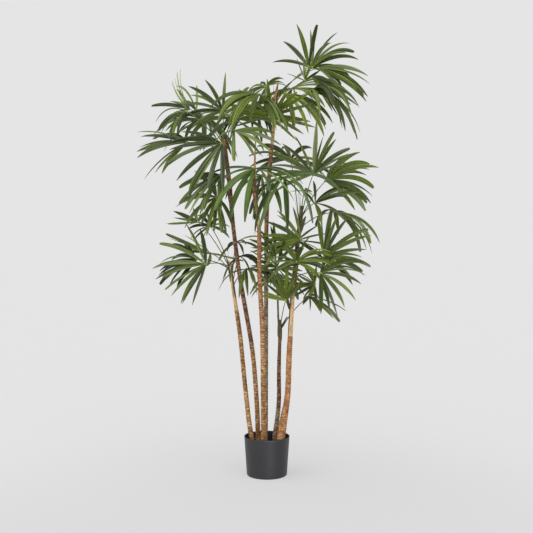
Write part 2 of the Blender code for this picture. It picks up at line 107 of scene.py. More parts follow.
asColour = {"data_type": "RGBA"}
multiplied = {"data_type": "RGBA", "blend_type": "MULTIPLY"}


def placeItem(name, data):
    item = bpy.data.objects.new(name, data)
    bpy.context.scene.collection.objects.link(item)
    return item


def takeMesh(item):
    # the finished mesh of an item with a modifier; the item itself is not needed any more
    bpy.context.view_layer.update()
    mesh = bpy.data.meshes.new_from_object(item.evaluated_get(bpy.context.evaluated_depsgraph_get()))
    item.modifiers.clear()
    bpy.data.objects.remove(item, do_unlink=True)
    return mesh


def finishPiece(name, mesh, smoothAngle, nodes=()):
    work = bmesh.new()
    work.from_mesh(mesh)
    bmesh.ops.recalc_face_normals(work, faces=work.faces)
    work.to_mesh(mesh)
    work.free()
    mesh.name = name
    mesh.shade_smooth()
    mesh.set_sharp_from_angle(angle=math.radians(smoothAngle))
    piece = placeItem(name, mesh)
    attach(piece, "root")
    if nodes:
        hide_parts(*nodes)
    print(name, len(mesh.polygons), "faces")


def between(low, high, share):
    return low + (high - low) * share


def aheadOf(points, i):
    return points[min(i + 1, len(points) - 1)] - points[max(i - 1, 0)]


# The plant's rule, as in the part's source: canes, fronds and the leaflets of each fan

# x, y, z and radius of points up each cane's middle line, in metres
canes = {
    "a": ((-0.060, -0.005, 0.150, 0.0103), (-0.072, 0.000, 0.215, 0.0095), (-0.090, 0.025, 0.370, 0.0090),
          (-0.110, 0.060, 0.560, 0.0088), (-0.136, 0.090, 0.730, 0.0085), (-0.153, 0.110, 0.860, 0.0070)),
    "b": ((-0.036, 0.020, 0.150, 0.0098), (-0.042, 0.005, 0.310, 0.0093), (-0.060, -0.020, 0.520, 0.0088),
          (-0.105, -0.050, 0.790, 0.0085), (-0.132, -0.070, 1.000, 0.0080), (-0.147, -0.085, 1.175, 0.0085),
          (-0.167, -0.095, 1.340, 0.0070)),
    "c": ((-0.012, -0.030, 0.150, 0.0130), (-0.013, -0.045, 0.330, 0.0114), (-0.017, -0.070, 0.575, 0.0098),
          (-0.029, -0.095, 0.815, 0.0088), (-0.031, -0.115, 1.000, 0.0078), (-0.046, -0.130, 1.120, 0.0085),
          (-0.047, -0.145, 1.225, 0.0045), (-0.043, -0.148, 1.350, 0.0016)),
    "d": ((-0.006, 0.030, 0.150, 0.0100), (-0.004, 0.040, 0.460, 0.0092), (-0.003, 0.055, 0.805, 0.0086),
          (-0.001, 0.065, 1.030, 0.0082), (0.010, 0.080, 1.220, 0.0080), (0.027, 0.090, 1.405, 0.0078),
          (0.037, 0.100, 1.545, 0.0055), (0.046, 0.100, 1.590, 0.0020)),
    "e": ((0.032, 0.020, 0.150, 0.0100), (0.048, 0.025, 0.280, 0.0088), (0.049, 0.030, 0.420, 0.0080),
          (0.052, 0.035, 0.530, 0.0072), (0.054, 0.040, 0.625, 0.0062)),
    "f": ((0.056, -0.020, 0.150, 0.0175), (0.066, -0.020, 0.220, 0.0155), (0.083, -0.020, 0.330, 0.0116),
          (0.089, -0.020, 0.480, 0.0110), (0.098, -0.020, 0.640, 0.0095), (0.108, -0.020, 0.790, 0.0085),
          (0.124, -0.020, 0.950, 0.0085), (0.138, -0.020, 1.085, 0.0060)),
}

# height of the stalk's foot on its cane, and the hub; then heading, rise, roll and spread in degrees,
# number of leaflets, their length, their bend in degrees, tone from dark to light, and the seed
frondRow = namedtuple("frondRow", "footZ hub heading rise roll spread count length bend tone seed")
frondRows = {
    "d1": (1.535, (0.184, 0.088, 1.652), -10, 40, 75, 105, 8, 0.195, 70, 0.45, 652),
    "d2": (1.520, (0.172, 0.102, 1.658), 155, 65, -85, 75, 4, 0.205, 45, 0.45, 435),
    "d3": (1.495, (0.152, -0.006, 1.584), 240, 70, -20, 125, 5, 0.105, 5, 0.75, 767),
    "d4": (1.500, (0.186, 0.140, 1.626), 25, -25, 50, 85, 7, 0.225, 20, 0.50, 250),
    "d5": (1.465, (0.176, -0.016, 1.536), -35, 5, -5, 95, 8, 0.280, 120, 0.45, 920),
    "d6": (1.415, (0.016, -0.012, 1.446), -70, 30, -10, 240, 9, 0.200, 5, 1.00, 241),
    "d7": (1.510, (-0.004, 0.034, 1.566), 145, 10, -45, 235, 8, 0.150, 70, 0.35, 516),
    "d8": (1.480, (0.072, 0.044, 1.540), -15, -10, 25, 115, 6, 0.250, 75, 0.75, 0),
    "d9": (1.450, (-0.030, -0.060, 1.520), -100, -10, -15, 190, 9, 0.250, 95, 0.75, 0),
    "d10": (1.440, (0.108, 0.238, 1.594), 70, 20, -10, 210, 8, 0.235, 55, 0.70, 0),
    "d11": (1.400, (-0.050, 0.232, 1.520), 140, 0, -5, 245, 8, 0.230, 85, 0.35, 679),
    "d12": (1.545, (0.204, 0.010, 1.636), 0, -10, 70, 55, 5, 0.240, 50, 0.40, 702),
    "b1": (1.270, (-0.172, -0.160, 1.318), 195, -25, -45, 140, 10, 0.250, 35, 0.40, 256),
    "b2": (1.290, (-0.316, -0.024, 1.336), 175, 5, -50, 115, 7, 0.230, 40, 0.35, 932),
    "b3": (1.325, (-0.314, 0.034, 1.478), 130, 10, -65, 65, 6, 0.215, 30, 0.40, 871),
    "b4": (1.310, (-0.310, -0.098, 1.448), 170, 10, -40, 155, 6, 0.155, 90, 0.50, 413),
    "b5": (1.350, (-0.172, -0.090, 1.450), 165, 40, -90, 100, 6, 0.175, 45, 0.50, 839),
    "b6": (1.180, (-0.180, -0.162, 1.198), 190, -35, -30, 115, 8, 0.210, 45, 0.65, 0),
    "b7": (1.300, (-0.124, -0.140, 1.370), -45, -25, 10, 145, 6, 0.195, 30, 0.55, 76),
    "b8": (1.250, (-0.254, 0.106, 1.436), 130, 25, 0, 220, 9, 0.250, 80, 0.50, 0),
    "b9": (1.315, (-0.130, 0.066, 1.438), 75, 60, 0, 225, 7, 0.245, 85, 0.70, 583),
    "b10": (1.150, (-0.198, -0.050, 1.118), 200, -15, -50, 220, 8, 0.190, 55, 0.70, 258),
    "b11": (1.335, (-0.286, 0.058, 1.472), 130, 60, -70, 30, 3, 0.210, 65, 0.90, 519),
    "c1": (1.185, (-0.044, -0.204, 1.220), -100, -20, 0, 210, 9, 0.270, 70, 0.50, 433),
    "c2": (1.150, (0.066, -0.140, 1.192), -105, -30, 10, 185, 6, 0.285, 105, 0.60, 888),
    "c3": (1.100, (-0.020, -0.056, 1.204), -125, -30, -15, 140, 5, 0.235, 130, 0.75, 121),
    "a1": (0.840, (-0.248, 0.054, 0.850), 185, 10, -65, 155, 8, 0.225, 35, 0.65, 878),
    "a2": (0.830, (-0.292, 0.134, 0.868), 185, 5, -40, 115, 8, 0.185, 55, 0.25, 799),
    "a3": (0.845, (-0.284, 0.110, 1.024), 130, 15, -25, 85, 6, 0.150, 5, 0.65, 874),
    "a4": (0.850, (-0.238, 0.178, 1.006), 235, 40, 35, 245, 7, 0.110, 60, 0.65, 166),
    "a5": (0.800, (-0.126, 0.030, 0.938), -90, 5, 20, 180, 6, 0.135, 65, 0.65, 129),
    "a6": (0.780, (-0.112, 0.010, 0.882), -100, 5, 15, 135, 5, 0.145, 110, 0.35, 953),
    "a7": (0.815, (-0.244, 0.244, 0.892), 160, 15, 0, 245, 8, 0.205, 5, 0.85, 206),
    "a8": (0.765, (-0.082, -0.004, 0.832), -60, 5, 10, 180, 7, 0.200, 100, 0.65, 212),
    "f1": (1.065, (0.182, -0.060, 1.208), 155, 70, -70, 160, 9, 0.205, 30, 0.60, 0),
    "f2": (1.050, (0.236, 0.012, 1.186), 5, 20, 65, 95, 11, 0.220, 60, 0.60, 563),
    "f3": (1.035, (0.186, -0.128, 1.092), -20, 30, 40, 150, 6, 0.180, 40, 0.45, 71),
    "f4": (1.000, (0.274, 0.062, 1.062), 35, 10, 25, 135, 7, 0.260, 120, 0.70, 0),
    "f5": (0.860, (0.228, -0.026, 0.882), 5, 35, 100, 130, 9, 0.210, 35, 0.70, 783),
    "f6": (0.800, (0.208, -0.104, 0.820), -15, 0, 55, 155, 9, 0.195, 55, 0.60, 58),
    "f7": (0.830, (0.114, -0.112, 0.864), -80, 50, -5, 210, 9, 0.170, 65, 0.75, 75),
    "f8": (0.900, (0.126, 0.148, 0.946), 80, 40, -5, 240, 9, 0.165, 25, 0.75, 753),
    "f9": (1.015, (0.098, 0.136, 1.284), 80, 40, 15, 195, 8, 0.215, 60, 0.60, 578),
    "f10": (0.900, (0.132, -0.100, 0.952), 155, 15, -85, 110, 7, 0.170, 25, 0.75, 894),
    "f11": (1.070, (0.146, -0.078, 1.140), -95, 30, -30, 185, 6, 0.080, 45, 0.85, 200),
    "f12": (0.815, (0.192, 0.004, 0.772), 190, 0, -90, 185, 7, 0.095, 5, 0.65, 278),
    "e1": (0.590, (0.168, -0.046, 0.726), -15, -15, 5, 160, 8, 0.170, 35, 0.60, 780),
    "e2": (0.600, (0.074, -0.060, 0.710), 170, 75, -105, 120, 7, 0.135, 10, 0.75, 948),
    "e3": (0.605, (0.042, -0.038, 0.840), -110, 60, -10, 295, 10, 0.135, 15, 0.55, 0),
    "e4": (0.585, (0.036, 0.158, 0.782), 65, 30, 20, 235, 8, 0.160, 90, 0.60, 673),
    "e5": (0.610, (0.036, 0.038, 0.914), -90, 70, -5, 270, 9, 0.120, 5, 0.70, 0),
}
fronds = {name: frondRow(*row) for name, row in frondRows.items()}

plantRule = {
    "footFlare": 1.12,            # widening of a cane's foot
    "caneRings": 2,               # rings in each span of the coarse cane
    "fitGap": 0.0003,             # between the canes or stalks and what they stand on
    "clearance": 0.0008,          # least space between limbs of the coarse plant
    "testSides": 10,              # of the rough tubes that show where a stalk would touch
    "pastFoot": 0.3,              # of a stalk's first span, not tested against its own cane
    "coarseSteps": 12,
    "coarseThickness": 0.0024,
    "coarseSpan": 0.05,           # of a leaflet, either way, that gives its direction
    # half widths of a coarse leaflet from hub to tip, as shares
    "coarseOutline": ((0.0, 0.18), (0.38, 0.80), (0.72, 1.0), (1.0, 0.24)),
    "leafletWidth": 0.023,
    "stalkRadius": 0.0018,
    "stalkArch": 0.16,            # of the distance that a stalk reaches
    "stalkArchPlace": 0.45,
    "coarseStalkPoints": 4,
    "hubRadius": 0.0065,
    "unevenTurn": 0.22,           # of the angle between two leaflets
    "unevenLift": 14,             # degrees, as is the curl
    "unevenCurl": 14,
    "unevenLength": (0.88, 1.06),
    "unevenSag": (0.75, 1.25),
    "unevenWidth": (0.85, 1.12),
    "outerLeafletCut": 0.14,
    "usualLength": 0.2,
    # tried in this order, in degrees, until the stalk or the leaflet touches no cane
    "stalkTurns": (0, 25, -25, 50, -50, 75, -75, 100, -100),
    "leafletTries": ((0, 0), (5, 0), (-5, 0), (0, 8), (0, -8), (9, 5), (-9, 5), (9, -5), (-9, -5),
                     (0, 16), (0, -16), (12, 12), (-12, 12), (12, -12), (-12, -12)),
}
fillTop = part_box("fill")[1].z


def throughPoints(points, perSpan):
    path = []
    last = len(points) - 1
    for i in range(last):
        before = points[max(i - 1, 0)]
        after = points[min(i + 2, last)]
        for step in range(perSpan):
            t = step / perSpan
            path.append(tuple(
                0.5 * (2 * b + (c - a) * t + (2 * a - 5 * b + 4 * c - d) * t * t
                       + (3 * b - a - 3 * c + d) * t ** 3)
                for a, b, c, d in zip(before, points[i], points[i + 1], after)))
    path.append(points[last])
    return path


def canePath(cane, perSpan):
    path = throughPoints(canes[cane], perSpan)
    x, y, z, radius = path[0]
    return [(x, y, fillTop + plantRule["fitGap"], radius * plantRule["footFlare"])] + path


def onCane(path, z):
    for low, high in zip(path, path[1:]):
        if low[2] <= z <= high[2]:
            share = (z - low[2]) / (high[2] - low[2])
            x, y, height, radius = (between(a, b, share) for a, b in zip(low, high))
            return Vector((x, y, height)), radius
    raise ValueError("height is off the cane")


def pointing(heading, rise):
    heading, rise = math.radians(heading), math.radians(rise)
    return Vector((math.cos(rise) * math.cos(heading), math.cos(rise) * math.sin(heading), math.sin(rise)))


def fanFrame(row):
    middle = pointing(row.heading, row.rise)
    level = pointing(row.heading + 90, 0)
    side = Matrix.Rotation(math.radians(row.roll), 3, middle) @ level
    return middle, side, middle.cross(side)


def leafletPath(leaflet, steps):
    start, direction, side, length, bend, curl = leaflet
    rise = math.asin(max(-1.0, min(1.0, direction.z)))
    heading = math.atan2(direction.y, direction.x)
    points = [start.copy()]
    sides = [side.copy()]
    ahead = direction.copy()
    for step in range(steps):
        share = (step + 0.5) / steps
        rise -= math.radians(bend) * math.cos(rise) * (0.5 + share) / steps
        heading += math.radians(curl) / steps
        turnedTo = pointing(math.degrees(heading), math.degrees(rise))
        side = ahead.rotation_difference(turnedTo) @ side
        ahead = turnedTo
        points.append(points[-1] + ahead * length / steps)
        sides.append(side.copy())
    return points, sides


def atShare(values, share):
    place = share * (len(values) - 1)
    low = min(int(place), len(values) - 2)
    return values[low].lerp(values[low + 1], place - low)


def coarseBlade(points, sides, width, margin):
    vertices, faces = [], []
    thickness, span = plantRule["coarseThickness"] + margin, plantRule["coarseSpan"]
    for share, breadth in plantRule["coarseOutline"]:
        place = atShare(points, share)
        ahead = atShare(points, min(share + span, 1.0)) - atShare(points, max(share - span, 0.0))
        across = atShare(sides, share).normalized()
        up = ahead.cross(across).normalized()
        half = 0.5 * (width * breadth + margin)
        vertices += [place - across * half - up * thickness / 3,
                     place + across * half - up * thickness / 3,
                     place + up * thickness * 2 / 3]
    last = len(vertices) - 3
    faces.append((0, 1, 2))
    for ring in range(0, last, 3):
        for corner in range(3):
            after = (corner + 1) % 3
            faces.append((ring + corner, ring + 3 + corner, ring + 3 + after, ring + after))
    faces.append((last + 2, last + 1, last))
    return vertices, faces


def stalkPath(path, footZ, hub, turn, count):
    before, tip = (Vector(point[:3]) for point in path[-2:])
    atTip = footZ > tip.z
    place, radius = (tip, 0.0) if atTip else onCane(path, footZ)
    out = Vector((hub.x - place.x, hub.y - place.y, 0.0)).normalized()
    out = Matrix.Rotation(math.radians(turn), 3, "Z") @ out
    reach = hub - place
    arch = place + reach * plantRule["stalkArchPlace"] + out * radius
    arch.z += reach.length * plantRule["stalkArch"]
    rise = (arch - place).normalized()
    lean = (tip - before).normalized()
    if atTip:
        foot = tip + lean * (plantRule["fitGap"] + plantRule["stalkRadius"] * lean.cross(rise).length)
    else:
        foot = place + out * (radius + plantRule["fitGap"] + plantRule["stalkRadius"] * abs(rise.z))
    points = []
    for step in range(count):
        t = step / (count - 1)
        points.append(foot * (1 - t) ** 2 + arch * 2 * t * (1 - t) + hub * t * t)
    return points


def shapeOf(owner, vertices, faces):
    low = Vector(min(v[i] for v in vertices) for i in range(3))
    high = Vector(max(v[i] for v in vertices) for i in range(3))
    return owner, low, high, BVHTree.FromPolygons(vertices, faces)


def touches(shape, others):
    owner, low, high, tree = shape
    for otherOwner, otherLow, otherHigh, otherTree in others:
        apart = any(low[i] > otherHigh[i] or high[i] < otherLow[i] for i in range(3))
        if otherOwner != owner and not apart and tree.overlap(otherTree):
            return True
    return False


def testTube(points, radii):
    vertices, faces = [], []
    sides = plantRule["testSides"]
    reach = 1 / math.cos(math.pi / sides)
    for i, (place, radius) in enumerate(zip(points, radii)):
        ahead = aheadOf(points, i)
        across = ahead.orthogonal().normalized()
        up = ahead.cross(across).normalized()
        for corner in range(sides):
            angle = 2 * math.pi * corner / sides
            spoke = across * math.cos(angle) + up * math.sin(angle)
            vertices.append(place + spoke * radius * reach)
    for ring in range(0, len(vertices) - sides, sides):
        for corner in range(sides):
            a, b = ring + corner, ring + (corner + 1) % sides
            faces.append((a, b, b + sides, a + sides))
    return vertices, faces


def planStalks():
    coarse = {cane: canePath(cane, plantRule["caneRings"]) for cane in canes}
    taken = []
    for cane, path in coarse.items():
        line = [Vector(point[:3]) for point in path]
        taken.append(shapeOf(cane, *testTube(line, [point[3] for point in path])))
    caneShapes = list(taken)
    turns = {}
    clear = plantRule["clearance"]
    for name, row in fronds.items():
        hub = Vector(row.hub)
        ballLine = [hub + Vector((0, 0, share * plantRule["hubRadius"])) for share in (-1, 0, 1)]
        ball = shapeOf(name, *testTube(ballLine, [plantRule["hubRadius"] + clear] * 3))
        ownCane = [shape for shape in taken if shape[0] == name[0]]
        others = [shape for shape in taken if shape[0] != name[0]]
        for turn in plantRule["stalkTurns"]:
            points = stalkPath(coarse[name[0]], row.footZ, hub, turn, plantRule["coarseStalkPoints"])
            pastFoot = [points[0].lerp(points[1], plantRule["pastFoot"])] + points[1:]
            radii = [plantRule["stalkRadius"]] * len(points)
            bare = shapeOf(name, *testTube(pastFoot, radii))
            stalk = shapeOf(name, *testTube(points, [radius + clear for radius in radii]))
            if not touches(bare, ownCane) and not touches(stalk, others):
                break
        taken += [stalk, ball]
        turns[name] = turn
    return coarse, caneShapes, turns


def drawLeaflet(chance, row, share, lengthShare, widthShare):
    uneven = chance.uniform(-plantRule["unevenTurn"], plantRule["unevenTurn"])
    angle = share * row.spread / 2 + uneven * row.spread / row.count
    lift = chance.uniform(-plantRule["unevenLift"], plantRule["unevenLift"])
    long = row.length * (1 - plantRule["outerLeafletCut"] * share * share)
    long *= chance.uniform(*plantRule["unevenLength"]) * lengthShare
    sag = row.bend * chance.uniform(*plantRule["unevenSag"])
    curl = chance.uniform(-plantRule["unevenCurl"], plantRule["unevenCurl"])
    wide = plantRule["leafletWidth"] * chance.uniform(*plantRule["unevenWidth"])
    wide *= math.sqrt(long / plantRule["usualLength"]) * widthShare
    return angle, lift, long, sag, curl, wide


def clearLeaflet(name, row, drawn):
    angle, lift, long, sag, curl, wide = drawn
    middle, side, face = fanFrame(row)
    for moreTurn, moreLift in plantRule["leafletTries"]:
        turn = math.radians(angle + moreTurn)
        flat = middle * math.cos(turn) + side * math.sin(turn)
        direction = (flat + face * math.tan(math.radians(lift + moreLift))).normalized()
        leaflet = (Vector(row.hub), direction, face.cross(direction).normalized(), long, sag, curl)
        points, sides = leafletPath(leaflet, plantRule["coarseSteps"])
        blade = coarseBlade(points, sides, wide, plantRule["clearance"])
        if not touches(shapeOf(name, *blade), caneShapes):
            return leaflet
    return None


coarseCanes, caneShapes, stalkTurns = planStalks()
print("planned the stalks of", len(stalkTurns), "fronds")


# Guides: open lines whose points carry what a sweep needs

sweepGuide = namedtuple("sweepGuide", "points sides halfWidths tone seed")


def guideItem(name, guides, extras):
    points, edges = [], []
    values = {"side": [], "halfWidth": [], "along": [], "tone": [], "leafSeed": []}
    for guide in guides:
        first = len(points)
        count = len(guide.points)
        points += [tuple(point) for point in guide.points]
        edges += [(first + i, first + i + 1) for i in range(count - 1)]
        for side in guide.sides:
            values["side"] += list(side)
        values["halfWidth"] += guide.halfWidths
        values["along"] += [i / (count - 1) for i in range(count)]
        values["tone"] += [guide.tone] * count
        values["leafSeed"] += [guide.seed] * count
    mesh = bpy.data.meshes.new(name)
    mesh.from_pydata(points, edges, [])
    kinds = {"side": "FLOAT_VECTOR", "tone": "INT"}
    for key, data in {**values, **dict(extras)}.items():
        attribute = mesh.attributes.new(key, kinds.get(key, "FLOAT"), "POINT")
        attribute.data.foreach_set("vector" if key == "side" else "value", data)
    return placeItem(name, mesh)


def startTree(name, numbers):
    tree = bpy.data.node_groups.new(name, "GeometryNodeTree")
    for way in ("INPUT", "OUTPUT"):
        tree.interface.new_socket("Geometry", in_out=way, socket_type="NodeSocketGeometry")
    for label, value in numbers.items():
        kind = "NodeSocketInt" if isinstance(value, int) else "NodeSocketFloat"
        tree.interface.new_socket(label, in_out="INPUT", socket_type=kind).default_value = value
    return tree, addNode(tree, "NodeGroupInput"), addNode(tree, "NodeGroupOutput")


def sweepProfile(tree, entry, profile):
    side = addNode(tree, "GeometryNodeInputNamedAttribute", {"Name": "side"}, data_type="FLOAT_VECTOR")
    halfWidth = addNode(tree, "GeometryNodeInputNamedAttribute", {"Name": "halfWidth"}, data_type="FLOAT")
    curve = addNode(tree, "GeometryNodeMeshToCurve", {"Mesh": entry.outputs["Geometry"]})
    curve = addNode(tree, "GeometryNodeSetCurveNormal", {"Curve": curve, "Normal": side}, mode="FREE")
    return addNode(tree, "GeometryNodeCurveToMesh", {
        "Curve": curve, "Profile Curve": profile, "Scale": halfWidth, "Fill Caps": True})


def endTree(tree, exitNode, geometry, materials):
    geometry = addNode(tree, "GeometryNodeRealizeInstances", {"Geometry": geometry})
    tone = addNode(tree, "GeometryNodeInputNamedAttribute", {"Name": "tone"}, data_type="INT")
    for i, material in enumerate(materials):
        same = addNode(tree, "FunctionNodeCompare", (tone, i), data_type="INT", operation="EQUAL")
        geometry = addNode(tree, "GeometryNodeSetMaterial", {
            "Geometry": geometry, "Selection": same, "Material": material})
    setInputs(tree, exitNode, {"Geometry": geometry})


def sweepPiece(name, guides, tree, numbers, smoothAngle, nodes=(), extras=()):
    item = guideItem(name + "Guides", guides, extras)
    modifier = item.modifiers.new("Sweep", "NODES")
    modifier.node_group = tree
    for label, value in numbers.items():
        modifier[tree.interface.items_tree[label].identifier] = value
    finishPiece(name, takeMesh(item), smoothAngle, nodes)


# Leaflets: strips of printed polyester cloth, heat-set into lengthwise pleats

leafLooks = {
    "steps": 18,                  # rings along a leaflet
    "between": 0.55,              # share of the gaps between leaflets that hold one more
    "betweenSize": (0.92, 0.85),  # their length and width, as shares
    "width": 0.86,                # of the source's leaflets, which are fewer
    # depth of the pleats, droop of both edges and thickness are shares of the half width
    "profile": {"Pleats": 3, "Pleat Depth": 0.34, "Arch": 0.16, "Thickness": 0.06},
    "smoothAngle": 24,            # pleats stay sharp
    "roll": 50,                   # most roll about its own length, degrees
    "twist": 40,                  # most twist from hub to tip, degrees
    "pointed": ((0.0, 0.22), (0.06, 0.40), (0.15, 0.64), (0.3, 0.90), (0.45, 1.0), (0.6, 0.96),
                (0.75, 0.79), (0.88, 0.50), (1.0, 0.10)),
    "blunt": ((0.0, 0.20), (0.06, 0.36), (0.15, 0.58), (0.3, 0.82), (0.5, 0.97), (0.7, 1.0),
              (0.85, 0.90), (0.95, 0.72), (1.0, 0.46)),
    "bluntShare": 0.22,           # of the leaflets end in a cut tip
    "toneJitter": 2.0,            # most steps of tone, up or down
    "roughness": 0.42,
    "specular": 0.4,
    # veins: across in half widths of some 10 mm, along in lengths of the leaflet
    "veinScale": {"across": 3.2, "along": 1.6, "leafSeed": 41.0},
    "veinContrast": (0.36, 0.64),
    # the leaves of each cane were printed in one batch, and the batches differ in hue
    "batches": {"a": "grey", "b": "grey", "c": "cool", "d": "warm", "e": "warm", "f": "plain"},
    "tints": {"grey": (1.05, 1.06, 1.06), "cool": (0.92, 1.09, 0.92), "warm": (1.08, 1.08, 0.72),
              "plain": (1.05, 1.05, 0.88)},
    # dark to light: the cloth and the print between its veins
    "tones": (("#1d2611", "#434f2d"), ("#262f16", "#4d5a33"), ("#2f3b1a", "#59683a"), ("#3b4920", "#66763f"),
              ("#4a5a26", "#768744"), ("#576829", "#819346"), ("#687933", "#93a453")),
}


# Polyester cloth, printed, cut and heat-set: dull green with darker printed veins, and a faint
# sheen only where a pleat faces the light
def leafCloth(name, hexPair, tint):
    material, tree, shader = startMaterial(name, leafLooks["roughness"], leafLooks["specular"])
    # the veins run lengthwise, 1.5 to 3 mm apart, so the noise is long along the leaflet
    place = []
    for key, scale in leafLooks["veinScale"].items():
        value = addNode(tree, "ShaderNodeAttribute", attribute_name=key).outputs["Fac"]
        place.append(addNode(tree, "ShaderNodeMath", (value, scale), operation="MULTIPLY"))
    place = addNode(tree, "ShaderNodeCombineXYZ", place)
    veins = addNode(tree, "ShaderNodeTexNoise", {"Vector": place, "Scale": 1.0, "Detail": 2.0})
    cloth = addNode(tree, "ShaderNodeValToRGB", [veins], zip(leafLooks["veinContrast"], hexPair))
    cloth = addNode(tree, "ShaderNodeMix", (1.0, cloth, tint + (1.0,)), **multiplied)
    setInputs(tree, shader, {"Base Color": cloth})
    return material


def leafletTree(batch):
    cloths = [leafCloth(f"{batch}LeafCloth{i}", hexPair, leafLooks["tints"][batch])
              for i, hexPair in enumerate(leafLooks["tones"])]
    tree, entry, exitNode = startTree(batch + "PleatedLeaflets", leafLooks["profile"])
    # the profile's corners run over the top of the pleats and back below them
    sums = {label: entry.outputs[label] for label in leafLooks["profile"]}
    sums["index"] = addNode(tree, "GeometryNodeInputIndex")
    for result, operation, *terms in (
            ("folds", "MULTIPLY", "Pleats", 2.0), ("topCorners", "ADD", "folds", 1.0),
            ("corners", "MULTIPLY", "topCorners", 2.0), ("last", "SUBTRACT", "corners", 1.0),
            ("fromLast", "SUBTRACT", "last", "index"), ("corner", "MINIMUM", "index", "fromLast"),
            ("share", "DIVIDE", "corner", "Pleats"), ("x", "SUBTRACT", "share", 1.0),
            ("odd", "MODULO", "corner", 2.0), ("ridge", "SUBTRACT", "odd", 0.5),
            ("fold", "MULTIPLY", "ridge", "Pleat Depth"),
            ("square", "MULTIPLY", "x", "x"), ("droop", "MULTIPLY", "square", "Arch"),
            ("isTop", "LESS_THAN", "index", "topCorners"), ("skin", "SUBTRACT", "isTop", 0.5),
            ("lift", "MULTIPLY", "skin", "Thickness"),
            ("drooping", "SUBTRACT", "fold", "droop"), ("y", "ADD", "drooping", "lift")):
        sums[result] = addNode(tree, "ShaderNodeMath", [sums.get(term, term) for term in terms],
                               operation=operation)
    loop = addNode(tree, "GeometryNodeCurvePrimitiveCircle", {"Resolution": sums["corners"]})
    place = addNode(tree, "ShaderNodeCombineXYZ", (sums["x"], sums["y"]))
    profile = addNode(tree, "GeometryNodeSetPosition", {"Geometry": loop, "Position": place})
    profile = addNode(tree, "GeometryNodeStoreNamedAttribute", {
        "Geometry": profile, "Name": "across", "Value": sums["x"]}, data_type="FLOAT", domain="POINT")
    endTree(tree, exitNode, sweepProfile(tree, entry, profile), cloths)
    return tree


def outlineAt(table, share):
    for (lowShare, low), (highShare, high) in zip(table, table[1:]):
        if share <= highShare:
            return low + (high - low) * (share - lowShare) / (highShare - lowShare)
    return table[-1][1]


def leafletGuides(name):
    row = fronds[name]
    chance = random.Random(f"frond {name} {row.seed}")
    gaps = row.count - 1
    drawn = [drawLeaflet(chance, row, 2 * i / gaps - 1, 1.0, 1.0) for i in range(row.count)]
    chance = random.Random(f"looks {name} {row.seed}")
    for i in range(gaps):
        if chance.random() < leafLooks["between"]:
            share = 2 * (i + 0.5) / gaps - 1
            drawn.append(drawLeaflet(chance, row, share, *leafLooks["betweenSize"]))
    steps, lastTone = leafLooks["steps"], len(leafLooks["tones"]) - 1
    guides = []
    for values in drawn:
        roll = math.radians(chance.uniform(-1, 1) * leafLooks["roll"])
        twist = math.radians(chance.uniform(-1, 1) * leafLooks["twist"])
        tone = row.tone * lastTone + chance.uniform(-1, 1) * leafLooks["toneJitter"]
        seed = chance.random()
        leaflet = clearLeaflet(name, row, values)
        if leaflet is None:
            continue
        points, sides = leafletPath(leaflet, steps)
        for i, side in enumerate(sides):
            ahead = aheadOf(points, i).normalized()
            sides[i] = Matrix.Rotation(roll + twist * i / steps, 3, ahead) @ side
        half = 0.5 * values[-1] * leafLooks["width"]
        table = leafLooks["blunt" if seed < leafLooks["bluntShare"] else "pointed"]
        halfWidths = [half * outlineAt(table, i / steps) for i in range(steps + 1)]
        guides.append(sweepGuide(points, sides, halfWidths, max(0, min(lastTone, round(tone))), seed))
    return guides


sweepLeaflets = {batch: leafletTree(batch) for batch in leafLooks["tints"]}
for cane in canes:
    names = [name for name in fronds if name[0] == cane]
    guides = [guide for name in names for guide in leafletGuides(name)]
    sweepPiece("leavesOfCane" + cane.upper(), guides, sweepLeaflets[leafLooks["batches"][cane]],
               leafLooks["profile"], leafLooks["smoothAngle"],
               ["frond_" + name for name in names])
print("leaflets made")


# Stalks, hubs and leaf bases: wire coated with green plastic, wrapped at the foot

stalkLooks = {
    "points": 16,
    "sweep": {"Sides": 8},
    "smoothAngle": 60,
    "radius": 0.0017,
    "taper": (1.25, 0.90),        # of the radius, at foot and hub
    "hubRadius": 0.0052,
    "hubLength": 0.015,
    "hubShape": (0.2, 0.6, 0.9, 1.0, 0.9, 0.65, 0.3),
    "hubBehind": 0.45,            # share of the hub behind the leaflets' root
    "baseLength": 0.055,          # of the leaf base that hugs the cane below a stalk's foot
    "baseRadius": 0.0034,
    "baseGap": 0.0006,
    "baseOnCane": 6,              # points of the base beside the cane; the rest lie on the stalk
    "baseShape": (0.35, 0.75, 0.95, 1.0, 0.95, 0.85, 0.72, 0.6, 0.48),
    "baseFrom": {"d": 1.425},     # no leaf base lower than this, where the wood is bare
    # what each kind is made of, its colours from dark to pale, and its roughness
    "kinds": {
        "stalk": ("coatedStalkWire", ("#3f4c2b", "#6b7c46"), 0.42),
        "base": ("wrappedLeafBase", ("#3c3320", "#77683a"), 0.7),
        "hub": ("paleFanHub", ("#6d7f3c", "#a8b062"), 0.5),
        "spear": ("drySpear", ("#86603f", "#c29a70"), 0.7),
        "greenSpear": ("greenSpear", ("#6f8a32", "#a4b94e"), 0.5),
        "strap": ("darkSheathStrap", ("#2b1a12", "#5d3b25"), 0.7),
    },
    # steel wire dipped in soft vinyl, or wrapped with tape at the foot: a low, even sheen on the green
    # stalks and none on the wraps, in blotches of 6 mm (170 per metre), as the dip or tape is uneven
    "coating": {"specular": 0.45, "scale": 170.0, "stretch": (1.0, 1.0, 0.35), "detail": 3.0,
                "shades": (0.3, 0.7), "relief": 0.0006, "strength": 0.5},
}


def roundTree(name, numbers):
    tree, entry, exitNode = startTree(name, numbers)
    ring = addNode(tree, "GeometryNodeCurvePrimitiveCircle", {"Resolution": entry.outputs["Sides"]})
    return tree, entry, exitNode, sweepProfile(tree, entry, ring)


